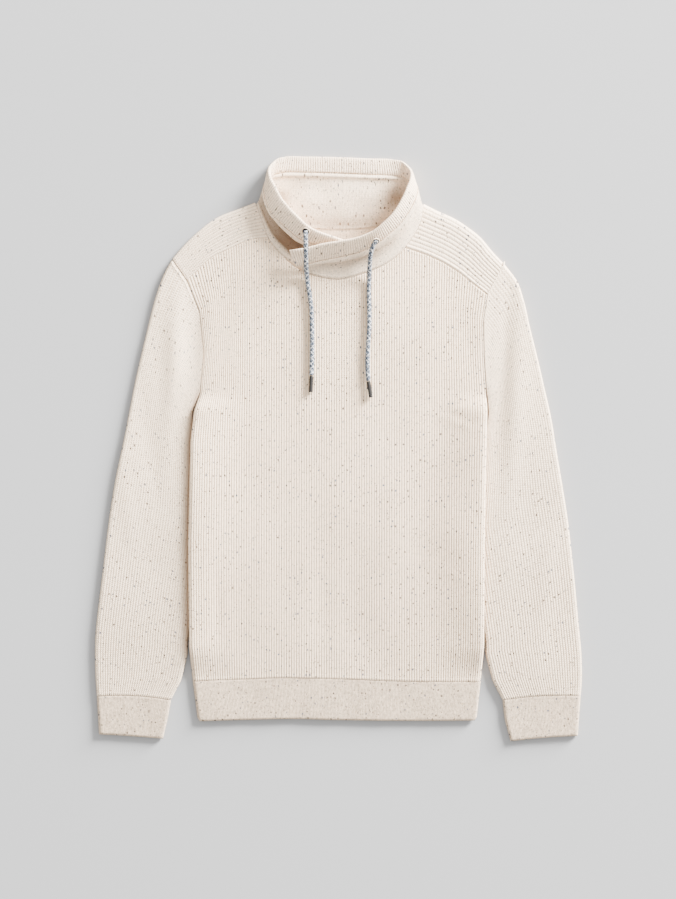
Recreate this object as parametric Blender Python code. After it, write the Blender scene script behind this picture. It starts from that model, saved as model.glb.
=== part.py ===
"""A knitted pullover with a crossover funnel collar and a drawstring, laid flat.

Sizes are in millimetres, seen from above: x to the right, y towards the collar and z up off the
surface that the garment lies on. Left and right are those of this view. The build turns them into
metres. Every panel is a wall of cloth, and a sleeve, a cuff and the hem band are flattened tubes.
"""

import math

import bmesh
import bpy
import numpy as np

METRES = 0.001

# The cloth
WALL = 2.2          # thickness of the plain knit
AIR = 2.4           # hollow between the two layers of a flattened tube
GAP = 0.3           # between two pieces at a seam
RIB_PITCH = 3.45    # from rib to rib on the front and the sleeves
RIB_RISE = 0.8      # height of a rib on the front and the yokes
SLEEVE_RIB_RISE = 0.5
YOKE_RIBS = 11
BAND_RIB_PITCH = 3.25
BAND_RIB_RISE = 0.45
BAND_THICKNESS = 5.0
BAND_ROUNDING = 0.7  # how far the band's inner corners are drawn in
UPPER = WALL + AIR + WALL   # top of the upper layer, between its ribs

# The body lies over the inner margin of each sleeve
SLEEVE_LIFT = 8.2    # how far the body stands off the surface there
LIFT_RAMP = 34.0     # over which it comes back down towards the middle
LIFT_MARGIN = 6.0    # level part past the sleeve's inner fold
SIDE_TURN = 7.0      # width of the rounded side fold
TURN_ABOVE = 6.0     # how far over the underarm the side fold starts, and the length it grows over
TURN_LENGTH = 14.0
INNER_INSET = 1.9    # how far the wall's inside lies in from a side fold
HALF_WIDTH = 204.0   # of the body, before its side edges bend the outer columns
SIDE_SHARE = 0.25    # share of the width, at each side, whose columns bend with the edge
LOWER_SHARES = (0.0, 0.121, 0.50, 0.93, 1.0)   # rows of a body panel from the hem to the underarm
UNDERARM = 78.0      # y of both underarm points
HEM_EASE = (-312.0, -270.0)   # y between which the lift grows from nothing to full

# Side edge of the body up to the underarm: y, left x, right x
SIDE_EDGE = (
    (-318.0, -198.0, 196.0),
    (-270.0, -203.0, 200.5),
    (-130.0, -204.5, 201.5),
    (12.0, -201.0, 204.0),
    (50.0, -196.5, 205.0),
    (78.0, -188.0, 204.0),
)
# Armhole seam from the underarm to the yoke: share of the way up, left x, right x
ARMHOLE = (
    (0.00, -188.0, 204.0),
    (0.35, -183.0, 201.0),
    (0.72, -189.0, 200.0),
    (1.00, -206.0, 206.0),
)
# How far the sleeve's inner fold lies inside the body's edge: y, distance
SLEEVE_REACH = (
    (-420.0, -52.0),
    (-344.0, -30.0),
    (-317.0, -16.0),
    (-280.0, -3.0),
    (-262.0, -1.5),
    (-120.0, 21.0),
    (46.0, -1.6),
    (66.0, -1.2),
    (78.0, -0.4),
)
# Lower seam of the front panel and lower edge of the hem band: x, y
HEM_SEAM = ((-204.0, -318.3), (-140.0, -316.0), (-76.0, -313.5), (2.0, -315.0), (110.0, -318.5), (204.0, -319.0))
HEM_EDGE = ((-204.0, -373.5), (-118.0, -371.0), (-62.0, -370.0), (2.0, -371.5), (110.0, -372.5), (204.0, -372.0))
HEM_HALF = (-191.0, 190.0)    # x of the band's two lower corners

# Neckline: the front half from left to right, then the back half from right to left
FRONT_NECK = (
    (-113.0, 337.0), (-103.0, 311.0), (-95.0, 288.0), (-78.0, 267.0), (-58.0, 249.0), (-33.0, 238.0),
    (2.0, 232.0), (36.0, 240.0), (65.0, 252.0), (86.0, 268.0), (102.0, 288.0), (114.0, 310.0), (118.0, 335.0),
)
BACK_NECK = (
    (118.0, 335.0), (92.0, 312.0), (50.0, 302.0), (0.0, 298.5), (-50.0, 302.0), (-88.0, 312.0), (-113.0, 337.0),
)
FRONT_FINE = 200    # fine points on each half of the neckline
BACK_FINE = 160
# Yoke seams on the front, from the neckline to the armhole, and the shoulder folds above them
YOKE_SEAM = {
    "left": ((-95.5, 289.5), (-115.0, 287.0), (-147.0, 274.0), (-175.0, 260.0), (-194.0, 242.0), (-206.0, 231.0)),
    "right": ((92.5, 275.0), (114.0, 268.0), (142.0, 256.0), (165.0, 242.0), (184.0, 227.0), (206.0, 210.0)),
}
SHOULDER = {
    "left": ((-113.0, 337.0), (-131.0, 330.0), (-169.0, 314.0), (-191.0, 297.0), (-216.0, 272.0), (-226.0, 260.0)),
    "right": ((118.0, 335.0), (138.0, 325.0), (160.0, 315.0), (180.0, 302.0), (195.0, 290.0), (212.0, 270.0), (229.0, 252.0)),
}

# Outer edge of each sleeve: y, x
SLEEVE_OUTLINE = {
    "left": (
        (-397.0, -327.0), (-338.0, -329.5), (-317.0, -331.0), (-290.0, -332.0), (-251.0, -331.0), (-218.0, -327.5),
        (-169.0, -321.5), (-103.0, -313.5), (-37.0, -303.0), (12.0, -292.5), (61.0, -283.0), (94.0, -276.5),
        (127.0, -269.0), (160.0, -261.0), (185.0, -255.0), (209.0, -248.5), (242.0, -236.0), (260.0, -226.0),
    ),
    "right": (
        (-397.0, 329.0), (-343.0, 332.5), (-317.0, 334.5), (-284.0, 334.0), (-235.0, 329.5), (-185.0, 325.0),
        (-152.0, 321.5), (-103.0, 316.0), (-54.0, 308.5), (-4.0, 300.0), (45.0, 292.0), (78.0, 284.5),
        (111.0, 277.0), (140.0, 270.0), (166.0, 263.5), (205.0, 254.5), (231.0, 245.0), (252.0, 229.0),
    ),
}
# Sections of a sleeve from the armhole to the cuff: y on its outer edge, y on its inner fold,
# share of the armhole's curve that it keeps, bow of the section towards the shoulder
SLEEVE_SECTIONS = (
    (258.0, 78.0, 1.00, 0.0),
    (226.0, 64.0, 0.75, 0.0),
    (180.0, 44.0, 0.40, 0.0),
    (110.0, -4.0, 0.10, 0.0),
    (0.0, -88.0, 0.00, 0.0),
    (-110.0, -170.0, 0.00, 0.0),
    (-225.0, -262.0, 0.00, 0.0),
    (-296.0, -302.0, 0.00, 2.0),
    (-338.5, -344.0, 0.00, 3.5),
)
# Cuffs below their seam: outer x, outer y, inner x, inner y, bow
CUFF = {
    "left": ((-328.0, -364.0, -232.5, -369.5, 1.5), (-326.5, -391.0, -239.0, -397.0, 0.5)),
    "right": ((331.0, -365.0, 229.0, -371.0, 2.0), (329.0, -393.0, 237.0, -400.5, 1.0)),
}
SLEEVE_TURN = 4.5    # width of the rounded fold at a sleeve's edge

# Soft folds: x, y, length, width, turn in degrees from the y axis, height (troughs are negative)
FOLDS = (
    (-196.0, 140.0, 130.0, 13.0, -4.0, -1.9),
    (-226.0, 150.0, 150.0, 16.0, 8.0, 1.2),
    (-262.0, 20.0, 220.0, 14.0, 10.0, -1.0),
    (228.0, 120.0, 200.0, 11.0, -4.0, -1.8),
    (252.0, 60.0, 180.0, 15.0, -7.0, 1.1),
    (-120.0, -120.0, 240.0, 30.0, 3.0, 1.0),
    (120.0, -160.0, 210.0, 34.0, -4.0, 0.9),
    (20.0, -210.0, 160.0, 26.0, 2.0, -1.1),
    (150.0, 90.0, 150.0, 22.0, -10.0, -0.9),
)

# The collar strip from its upper end, which crosses over the front, right round the neck to its
# lower end beneath: place along the neckline from its front centre, height of the seam, then the
# foot of the ribbed band and its top edge. The points lie on the strip's outer face.
COLLAR = (
    # neck, seam_z, foot_x, foot_y, foot_z, top_x, top_y, top_z
    (-57.0, 9.6, -56.4, 247.5, 16.0, -66.0, 270.0, 26.0),
    (-44.0, 8.2, -42.0, 251.0, 17.5, -45.5, 272.5, 30.0),
    (-25.0, 7.6, -23.0, 256.0, 20.0, -21.0, 278.0, 35.0),
    (0.0, 7.6, 6.2, 261.5, 22.5, 6.0, 282.3, 38.5),
    (30.0, 7.5, 33.0, 268.5, 24.5, 29.0, 287.0, 40.5),
    (58.0, 7.4, 54.5, 279.5, 27.5, 50.0, 295.6, 43.5),
    (84.0, 7.2, 71.0, 292.0, 30.0, 62.5, 305.0, 45.5),
    (110.0, 7.0, 88.0, 309.0, 31.0, 78.0, 321.0, 45.5),
    (137.0, 6.9, 101.5, 329.0, 30.0, 91.0, 343.5, 42.0),
    (157.0, 6.6, 108.0, 343.5, 26.0, 97.0, 357.5, 37.0),
    (168.0, 5.8, 110.4, 353.8, 20.0, 101.5, 369.0, 29.5),
    (179.0, 3.6, 107.5, 363.0, 11.0, 102.5, 380.5, 18.0),
    (192.0, 1.2, 98.5, 369.0, 3.5, 94.0, 391.0, 7.0),
    (216.0, 0.0, 83.0, 373.0, 0.0, 78.0, 396.0, 0.8),
    (255.0, 0.0, 42.0, 375.5, 0.0, 42.0, 397.5, 0.0),
    (298.0, 0.0, -1.0, 377.5, 0.0, -1.0, 399.3, 0.0),
    (339.0, 0.0, -43.0, 378.5, 0.0, -43.0, 400.0, 0.0),
    (378.0, 0.0, -78.0, 377.5, 0.0, -74.0, 399.6, 0.8),
    (402.0, 1.2, -92.5, 372.5, 3.5, -88.0, 394.0, 7.0),
    (415.0, 3.6, -99.5, 365.0, 11.0, -95.5, 383.5, 18.0),
    (425.0, 5.8, -101.8, 354.5, 19.0, -93.5, 372.0, 27.0),
    (435.0, 6.6, -100.0, 341.5, 23.5, -86.5, 359.5, 31.5),
    (448.0, 6.9, -94.0, 326.0, 25.5, -78.8, 344.5, 34.5),
    (467.0, 7.0, -81.5, 311.0, 26.5, -66.5, 328.5, 36.5),
    (488.0, 7.0, -67.0, 297.5, 26.0, -53.5, 315.0, 37.0),
    (508.0, 6.6, -53.5, 286.8, 24.5, -41.0, 303.3, 36.0),
    (530.0, 5.4, -35.8, 279.5, 22.0, -28.0, 296.0, 34.0),
    (556.0, 4.9, -15.0, 273.5, 19.0, -10.0, 289.5, 31.5),
    (590.0, 4.9, 10.0, 266.5, 15.0, 11.5, 282.5, 27.0),
    (622.0, 4.9, 36.0, 258.0, 10.8, 39.0, 273.5, 19.5),
)
# Form of the plain stand between the seam and the band, off the straight line between them: place
# along the neckline, then heights of the border, of the hollow's near and far side, how far the far
# side reaches in under the band, height of the lip under the band and how far the lip reaches out
STAND_FORM = (
    # neck, border_z, near_z, far_z, far_in, lip_z, lip_in
    (-57.0, 0.0, 0.0, 0.0, 0.0, 0.0, 0.0),
    (-30.0, 0.0, -0.6, -1.0, 0.0, 0.0, -1.0),
    (0.0, -0.8, -1.2, -1.5, 0.3, -0.5, -3.0),
    (30.0, -1.0, -1.8, -2.5, 0.5, -0.8, -4.0),
    (60.0, -1.3, -3.0, -5.0, 1.0, -1.2, -5.0),
    (120.0, -1.0, -3.0, -5.5, 1.0, -1.0, -4.5),
    (160.0, 0.0, -1.0, -2.5, 0.5, 0.0, -2.0),
    (190.0, 0.0, 0.0, 0.0, 0.0, 0.0, 0.0),
    (208.0, 0.0, 0.0, 0.0, 0.0, 0.0, 0.0),
    (402.0, 0.0, 0.0, 0.0, 0.0, 0.0, 0.0),
    (412.0, 0.0, 0.0, 0.0, 0.0, 0.0, 0.0),
    (430.0, -1.0, -4.5, -7.5, 1.5, -1.0, -0.5),
    (448.0, -2.0, -8.5, -14.5, 3.0, -1.5, -1.0),
    (467.0, -2.3, -9.4, -16.6, 3.5, -2.0, -1.0),
    (490.0, -2.3, -9.4, -16.2, 3.5, -2.0, -1.0),
    (512.0, -2.0, -8.2, -13.8, 3.0, -2.0, -1.0),
    (535.0, -1.0, -4.8, -7.8, 1.5, -1.0, 0.0),
    (565.0, 0.0, -1.2, -1.8, 0.0, 0.0, 0.0),
    (590.0, 0.0, 0.0, 0.0, 0.0, 0.0, 0.0),
    (622.0, 0.0, 0.0, 0.0, 0.0, 0.0, 0.0),
)
# Where the form's heights lie, from the seam to the foot, and how far the fourth is from near to far
STAND_SHARES = (0.0, 0.22, 0.40, 0.68, 0.76, 0.90, 1.0)
FAR_PART = 0.78
NECK_ROUNDING = 10.0   # how far each side of a shoulder point the neckline seam of the collar is rounded
STAND_START = 7.0      # how far the plain stand starts behind the band's upper end
STAND_PLACES = 56
STAND_ROWS = (0.0, 0.22, 0.40, 0.60, 0.76, 0.90, 1.0)
FOOT_GAP = 0.55        # between the plain stand and the band's foot
FULL_WALL_AT = 12.0    # height of the stand from which its wall is full, and its least share below
LEAST_WALL = 0.4

# Drawstring
CORD_RADIUS = 3.2
TIP_RADIUS = 2.8
TIP_LENGTH = 23.0
CORD_LEFT = (
    (-43.5, 297.0, 36.5), (-43.3, 287.0, 37.2), (-43.2, 277.0, 36.6), (-43.1, 268.0, 33.6), (-43.0, 258.0, 27.8),
    (-42.8, 248.0, 21.6), (-42.2, 239.0, 15.4), (-41.0, 229.0, 11.9), (-38.6, 214.0, 11.2), (-36.0, 195.0, 11.2),
    (-35.0, 172.0, 11.2), (-34.8, 148.0, 11.2), (-35.0, 124.0, 11.2), (-35.6, 100.3, 11.2),
)
CORD_RIGHT = (
    (53.0, 284.0, 38.5), (48.5, 276.5, 36.0), (45.6, 268.0, 32.0), (44.4, 259.0, 27.0), (43.8, 250.0, 21.6),
    (43.4, 241.0, 15.8), (43.1, 231.0, 12.0), (42.9, 214.0, 11.2), (43.3, 189.0, 11.2), (43.2, 164.0, 11.2),
    (41.8, 139.0, 11.2), (41.0, 114.0, 11.2), (42.3, 92.8, 11.2),
)
CORD_POINTS = 18

# Colours as linear red, green and blue
CREAM = (0.76, 0.69, 0.62)
STRING_BLUE = (0.20, 0.23, 0.29)
TIP_BROWN = (0.06, 0.05, 0.045)


def curve_at(knots, values, at):
    """Reads a smooth curve through rows of values, in one column or several, at the places given."""
    knots = np.asarray(knots, float)
    values = np.asarray(values, float)
    single = values.ndim == 1
    if single:
        values = values[:, None]
    gaps = np.diff(knots)[:, None]
    steps = np.diff(values, axis=0) / gaps
    middle = (steps[:-1] * gaps[1:] + steps[1:] * gaps[:-1]) / (gaps[:-1] + gaps[1:])
    slopes = np.vstack([steps[:1], middle, steps[-1:]])
    at = np.clip(np.asarray(at, float), knots[0], knots[-1])
    row = np.clip(np.searchsorted(knots, at, side="right") - 1, 0, len(knots) - 2)
    gap = gaps[row]
    t = ((at - knots[row]) / gap[..., 0])[..., None]
    found = (
        (2 * t**3 - 3 * t**2 + 1) * values[row]
        + (t**3 - 2 * t**2 + t) * gap * slopes[row]
        + (3 * t**2 - 2 * t**3) * values[row + 1]
        + (t**3 - t**2) * gap * slopes[row + 1]
    )
    return found[..., 0] if single else found


def column(table, index):
    return np.array([row[index] for row in table], float)


def ease(share):
    """Goes smoothly from 0 to 1."""
    share = np.clip(share, 0.0, 1.0)
    return share * share * (3 - 2 * share)


def mix(a, b, share):
    return a + (b - a) * share


def lengths_along(points):
    """Distance from the first point to each one."""
    steps = np.linalg.norm(np.diff(np.asarray(points, float), axis=0), axis=1)
    return np.concatenate([[0.0], np.cumsum(steps)])


def route(points, count):
    """Evenly spaced points on a smooth curve through the points given."""
    points = np.asarray(points, float)
    fine = curve_at(lengths_along(points), points, np.linspace(0, lengths_along(points)[-1], 40 * len(points)))
    along = lengths_along(fine)
    places = np.linspace(0, along[-1], count)
    return np.stack([np.interp(places, along, fine[:, axis]) for axis in range(fine.shape[1])], axis=1)


def side_x(side, y):
    """x of the body's side edge below the underarm."""
    return np.interp(y, column(SIDE_EDGE, 0), column(SIDE_EDGE, 1 if side == "left" else 2))


def yoke_corner(side):
    return YOKE_SEAM[side][-1]


def armhole_points(side):
    """The armhole seam from the underarm up to the shoulder fold."""
    top = yoke_corner(side)[1]
    points = [(row[1 if side == "left" else 2], mix(UNDERARM, top, row[0])) for row in ARMHOLE]
    return np.array(points + [SHOULDER[side][-1]])


def armhole_x(side, y):
    points = armhole_points(side)
    return np.interp(y, points[:, 1], points[:, 0])


def body_edge_x(side, y):
    return np.where(np.asarray(y) < UNDERARM, side_x(side, y), armhole_x(side, y))


def sleeve_reach(y):
    return np.interp(y, column(SLEEVE_REACH, 0), column(SLEEVE_REACH, 1))


def body_lift(x, y):
    """How far the back's underside stands off the surface: it lies over the sleeves at both sides."""
    along = ease((UNDERARM - y) / (UNDERARM - 50.0)) * ease((y - HEM_EASE[0]) / (HEM_EASE[1] - HEM_EASE[0]))
    level = np.maximum(sleeve_reach(y), 0.0) + LIFT_MARGIN
    from_left = x - side_x("left", y)
    from_right = side_x("right", y) - x
    nearest = np.minimum(from_left, from_right)
    return SLEEVE_LIFT * along * ease(1 - (nearest - level) / LIFT_RAMP)


def fold_height(x, y):
    """Height that the soft folds add to the upper layer."""
    total = np.zeros(np.broadcast(x, y).shape)
    for fold_x, fold_y, length, width, turn, height in FOLDS:
        angle = math.radians(turn)
        across = (x - fold_x) * math.cos(angle) + (y - fold_y) * math.sin(angle)
        along = (y - fold_y) * math.cos(angle) - (x - fold_x) * math.sin(angle)
        total += height * np.exp(-((across / width) ** 2) - (2 * along / length) ** 2)
    return total


def round_turn(distance, width):
    """Quarter ellipse: 0 at the edge, 1 from this width inwards."""
    share = np.clip(distance / width, 0.0, 1.0)
    return np.sqrt(1 - (1 - share) ** 2)


def neck_route():
    """The whole neckline as fine points, with each one's distance from the front centre."""
    front = route(FRONT_NECK, FRONT_FINE)
    back = route(BACK_NECK, BACK_FINE)
    loop = np.vstack([front, back[1:]])
    along = lengths_along(loop)
    return loop, along - along[np.argmin(front[:, 1])]


def neck_at(place):
    """Points of the neckline at distances from its front centre, going right round the neck."""
    loop, along = neck_route()
    place = (np.asarray(place, float) - along[0]) % (along[-1] - along[0]) + along[0]
    return np.stack([np.interp(place, along, loop[:, 0]), np.interp(place, along, loop[:, 1])], axis=-1)


def front_neck_y(x):
    loop, along = neck_route()
    front = loop[:FRONT_FINE]
    return np.interp(x, front[:, 0], front[:, 1])


def seam_y(side, x):
    points = route(YOKE_SEAM[side], 80)
    order = np.argsort(points[:, 0])
    return np.interp(x, points[order, 0], points[order, 1])


def front_top_y(x):
    """Upper edge of the front panel: a yoke seam at each side, the neckline between them."""
    left = YOKE_SEAM["left"][0][0]
    right = YOKE_SEAM["right"][0][0]
    return np.where(x < left, seam_y("left", x), np.where(x > right, seam_y("right", x), front_neck_y(x)))


def back_top_y(x):
    """Upper edge of the back panel: a shoulder at each side, the back neckline between them."""
    left = route(SHOULDER["left"], 80)[::-1]
    right = route(SHOULDER["right"], 80)
    neck = route(BACK_NECK, BACK_FINE)[::-1]
    outline = np.vstack([left, neck[1:], right[1:]])
    return np.interp(x, outline[:, 0], outline[:, 1])


def hem_y(x):
    return curve_at(column(HEM_SEAM, 0), column(HEM_SEAM, 1), x)


class Piece:
    """Points and triangles of one closed solid while it is made."""

    def __init__(self):
        self.points = []
        self.faces = []
        self.count = 0

    def grid(self, points):
        """Adds a grid of points and gives their numbers."""
        points = np.asarray(points, float)
        numbers = self.count + np.arange(points.shape[0] * points.shape[1]).reshape(points.shape[:2])
        self.points.append(points.reshape(-1, 3))
        self.count += numbers.size
        return numbers

    def skin(self, numbers):
        """Faces between the rows of a grid."""
        for low, high in zip(numbers[:-1], numbers[1:]):
            for a, b, c, d in zip(low[:-1], low[1:], high[1:], high[:-1]):
                self.faces.append((a, b, c, d))

    def zip_edges(self, first, second, first_at, second_at):
        """Triangles between two edges with different numbers of points, matched by their places."""
        i = j = 0
        while i < len(first) - 1 or j < len(second) - 1:
            step_first = j == len(second) - 1 or (i < len(first) - 1 and first_at[i + 1] <= second_at[j + 1])
            if step_first:
                self.faces.append((first[i], first[i + 1], second[j]))
                i += 1
            else:
                self.faces.append((first[i], second[j + 1], second[j]))
                j += 1

    def build(self, name, colour, roughness=0.9):
        mesh = bpy.data.meshes.new(name)
        points = np.vstack(self.points) * METRES
        mesh.from_pydata(points.tolist(), [], [tuple(int(n) for n in face) for face in self.faces])
        work = bmesh.new()
        work.from_mesh(mesh)
        bmesh.ops.triangulate(work, faces=work.faces, quad_method="SHORT_EDGE")
        bmesh.ops.recalc_face_normals(work, faces=work.faces)
        work.to_mesh(mesh)
        work.free()
        mesh.shade_smooth()
        mesh.set_sharp_from_angle(angle=math.radians(40))
        mesh.materials.append(finish(name, colour, roughness))
        piece = bpy.data.objects.new(name, mesh)
        bpy.context.scene.collection.objects.link(piece)
        return piece


def finish(name, colour, roughness):
    material = bpy.data.materials.new(name)
    material.use_nodes = True
    shader = material.node_tree.nodes["Principled BSDF"]
    shader.inputs["Base Color"].default_value = (*colour, 1.0)
    shader.inputs["Roughness"].default_value = roughness
    shader.inputs["Metallic"].default_value = 0.0
    return material


def sheet(name, outer, inner, outer_at, inner_at, colour=CREAM):
    """A wall between a fine outer grid and a plain inner one, closed round its four edges.

    outer_at and inner_at are the places of each grid's rows and columns, from 0 to 1.
    """
    piece = Piece()
    outer = piece.grid(outer)
    inner = piece.grid(inner)
    piece.skin(outer)
    piece.skin(inner[:, ::-1])
    piece.zip_edges(inner[0], outer[0], inner_at[1], outer_at[1])
    piece.zip_edges(outer[-1], inner[-1], outer_at[1], inner_at[1])
    piece.zip_edges(outer[:, 0], inner[:, 0], outer_at[0], inner_at[0])
    piece.zip_edges(inner[:, -1], outer[:, -1], inner_at[0], outer_at[0])
    return piece.build(name, colour)


def tube(name, outer, inner, outer_at, inner_at, colour=CREAM):
    """A wall between two stacks of rings, open inside and closed round both ends."""
    piece = Piece()
    outer = piece.grid(outer)
    inner = piece.grid(inner)
    outer = np.hstack([outer, outer[:, :1]])
    inner = np.hstack([inner, inner[:, :1]])
    outer_at = np.append(outer_at, 1.0)
    inner_at = np.append(inner_at, 1.0)
    piece.skin(outer)
    piece.skin(inner[:, ::-1])
    piece.zip_edges(inner[0], outer[0], inner_at, outer_at)
    piece.zip_edges(outer[-1], inner[-1], outer_at, inner_at)
    return piece.build(name, colour)


def panel_rows(columns, low, top, edge_tops):
    """y of each row of a body panel: shares of the way to the underarm, then on through the armhole's points."""
    rows = [mix(low, UNDERARM, share) for share in LOWER_SHARES]
    armholes = {side: armhole_points(side)[:, 1] for side in ("left", "right")}
    for left_y, right_y in zip(armholes["left"][1:], armholes["right"][1:]):
        left_share = (left_y - UNDERARM) / (edge_tops["left"] - UNDERARM)
        right_share = (right_y - UNDERARM) / (edge_tops["right"] - UNDERARM)
        share = mix(left_share, right_share, columns)
        if share.max() < 1.0 + 1e-6:
            rows.append(mix(UNDERARM, top, share))
    return np.array(rows)


def panel_grid(columns, top_of, edge_tops):
    """x and y of a body panel's points. Its columns are straight, and bend only near the side edges."""
    straight = mix(-HALF_WIDTH, HALF_WIDTH, columns)[None, :]
    pull_left = np.clip(1 - columns / SIDE_SHARE, 0, 1) ** 2
    pull_right = np.clip(1 - (1 - columns) / SIDE_SHARE, 0, 1) ** 2
    x = straight
    for _ in range(5):
        y = panel_rows(columns, hem_y(x[0]), top_of(x[-1]), edge_tops)
        shift_left = body_edge_x("left", y[:, :1]) + HALF_WIDTH
        shift_right = body_edge_x("right", y[:, -1:]) - HALF_WIDTH
        x = straight + pull_left * shift_left + pull_right * shift_right
    return x, y


def rib_wave(count):
    """0 in each trough and 1 on each crest, from a trough to a trough."""
    return np.arange(2 * count + 1) % 2


def edge_distance(x, y):
    return np.minimum(x - body_edge_x("left", y), body_edge_x("right", y) - x)


def make_front():
    ribs = round((yoke_corner("right")[0] - yoke_corner("left")[0]) / RIB_PITCH)
    columns = np.linspace(0, 1, 2 * ribs + 1)
    tops = {side: yoke_corner(side)[1] for side in ("left", "right")}
    x, y = panel_grid(columns, front_top_y, tops)
    y[0] += GAP
    y[-1, 1:-1] -= 1.4 * GAP
    lift = body_lift(x, y)
    level = lift + UPPER + fold_height(x, y)
    foot = lift + WALL + GAP
    turned = ease((UNDERARM + TURN_ABOVE - y) / TURN_LENGTH)
    distance = edge_distance(x, y)
    side = mix(level, mix(foot, level, round_turn(distance, SIDE_TURN)), turned)
    ribs_here = rib_wave(ribs) * RIB_RISE * np.where(distance < 1.0, 0.0, 1.0)
    outer = np.stack([x, y, side + ribs_here], axis=-1)

    picks = np.unique(np.concatenate([[0, 2, 4, 8], np.arange(13, 2 * ribs - 12, 6), 2 * ribs - np.array([8, 4, 2, 0])]))
    inner_x, inner_y = x[:, picks].copy(), y[:, picks]
    inner_x[:, 0] += INNER_INSET * turned[:, 0]
    inner_x[:, -1] -= INNER_INSET * turned[:, -1]
    inset = edge_distance(inner_x, inner_y) - INNER_INSET * turned[:, picks]
    under = level[:, picks] - WALL
    bent = mix(foot[:, picks], under, round_turn(inset, SIDE_TURN - INNER_INSET))
    inner = np.stack([inner_x, inner_y, mix(under, bent, turned[:, picks])], axis=-1)
    rows = np.linspace(0, 1, len(y))
    return sheet("front", outer, inner, (rows, columns), (rows, columns[picks]))


def make_back():
    columns = np.linspace(0, 1, 35)
    tops = {side: SHOULDER[side][-1][1] for side in ("left", "right")}
    x, y = panel_grid(columns, back_top_y, tops)
    y[0] += GAP
    lift = body_lift(x, y)
    under = np.stack([x, y, lift], axis=-1)
    over = np.stack([x, y, lift + WALL], axis=-1)
    rows = np.linspace(0, 1, len(y))
    return sheet("back", over, under, (rows, columns), (rows, columns))


def make_yoke(side):
    """A shoulder panel: ribs run from the neckline to the armhole, and its upper edge folds down."""
    across = np.linspace(0, 1, 2 * YOKE_RIBS + 1)
    along = np.linspace(0, 1, 10)
    low = route(YOKE_SEAM[side], len(along))
    high = route(SHOULDER[side], len(along))
    loop, places = neck_route()
    start = places[np.argmin(np.hypot(*(loop[:FRONT_FINE] - low[0]).T))]
    end = places[0] if side == "left" else places[FRONT_FINE - 1]
    neck = neck_at(mix(start, end, across) + (1e-3 if side == "left" else -1e-3))
    chord = mix(low[0], high[0], across[:, None])
    plan = mix(low[None, :], high[None, :], across[:, None, None])
    plan = plan + (neck - chord)[:, None, :] * (1 - along)[None, :, None] ** 2
    plan[0, :, 1] += 1.3 * GAP
    rise = mix(WALL + GAP, UPPER, round_turn((1 - across) * 45.0, 9.0))
    wave = rib_wave(YOKE_RIBS) * RIB_RISE * np.where(across > 0.98, 0.0, 1.0)
    height = rise[:, None] + fold_height(plan[..., 0], plan[..., 1]) * (1 - across)[:, None]
    outer = np.concatenate([plan, (height + wave[:, None])[..., None]], axis=-1)
    picks = np.array([0, 6, 12, 16, 18, 20, 21, 22])
    inner = np.concatenate([plan[picks], (height[picks] - WALL)[..., None]], axis=-1)
    inner[-1, :, 2] = WALL + GAP
    inner[-1, :, :2] = mix(plan[-1], plan[-3], 0.5)
    inner[-2, :, :2] = mix(plan[-1], plan[-3], 0.62)
    inner[-2, :, 2] = np.maximum(height[-2] - WALL - 0.6, WALL + GAP + 0.6)
    flip = side == "left"
    outer_at, inner_at = (across, along), (across[picks], along)
    if flip:
        outer, inner = outer[:, ::-1], inner[:, ::-1]
    return sheet("yoke_" + side, outer, inner, outer_at, inner_at)


def flat_ring(start, end, bow, low, high, top_count, turn, ribs=0.0, inset=0.0, under_count=9):
    """One ring of a flattened tube: along the top from start to end, then back along the underside.

    start and end are the two folds in plan, and bow gives the points between them a curve.
    Returns the points and their places round the ring.
    """
    start, end = np.asarray(start, float), np.asarray(end, float)
    width = np.linalg.norm(end - start)
    shares = np.linspace(0, 1, top_count)
    wave = (np.arange(top_count) % 2) * ribs
    under = np.linspace(1, 0, under_count)[1:-1]
    middle = (low + high) / 2
    points, places = [], []
    for share, rib in zip(shares, wave):
        place = mix(inset / width, 1 - inset / width, share)
        edge = round_turn((min(share, 1 - share)) * (width - 2 * inset), turn)
        points.append((*(mix(start, end, place) + bow(place)), mix(middle, high, edge) + rib * edge))
        places.append(0.5 * share)
    for share in under:
        place = mix(inset / width, 1 - inset / width, share)
        edge = round_turn((min(share, 1 - share)) * (width - 2 * inset), turn)
        points.append((*(mix(start, end, place) + bow(place)), mix(middle, low, edge)))
        places.append(1 - 0.5 * share)
    return np.array(points), np.array(places)


def sleeve_section(side, outer_y, inner_y, keep, bow):
    """The two folds of one section of a sleeve and the curve between them, in plan."""
    sign = -1.0 if side == "left" else 1.0
    outline = SLEEVE_OUTLINE[side]
    seam = armhole_points(side)
    outer_y = min(outer_y, seam[-1][1] - 0.5) if keep == 1.0 else outer_y
    start = np.array([curve_at(column(outline, 0), column(outline, 1), outer_y), outer_y])
    end = np.array([body_edge_x(side, inner_y) - sign * sleeve_reach(inner_y), inner_y])
    if keep == 1.0:
        start[0] = seam[-1][0]
        end[0] += sign * GAP

    def curve(place):
        shift = np.zeros(2)
        if keep > 0:
            seam_y_here = mix(seam[-1][1], seam[0][1], place)
            chord_x = mix(seam[-1][0], seam[0][0], place)
            shift[0] += keep * (armhole_x(side, seam_y_here) - chord_x) + sign * (GAP + 0.1) * (keep == 1.0)
        shift[1] += bow * 4 * place * (1 - place)
        return shift

    return start, end, curve


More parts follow.
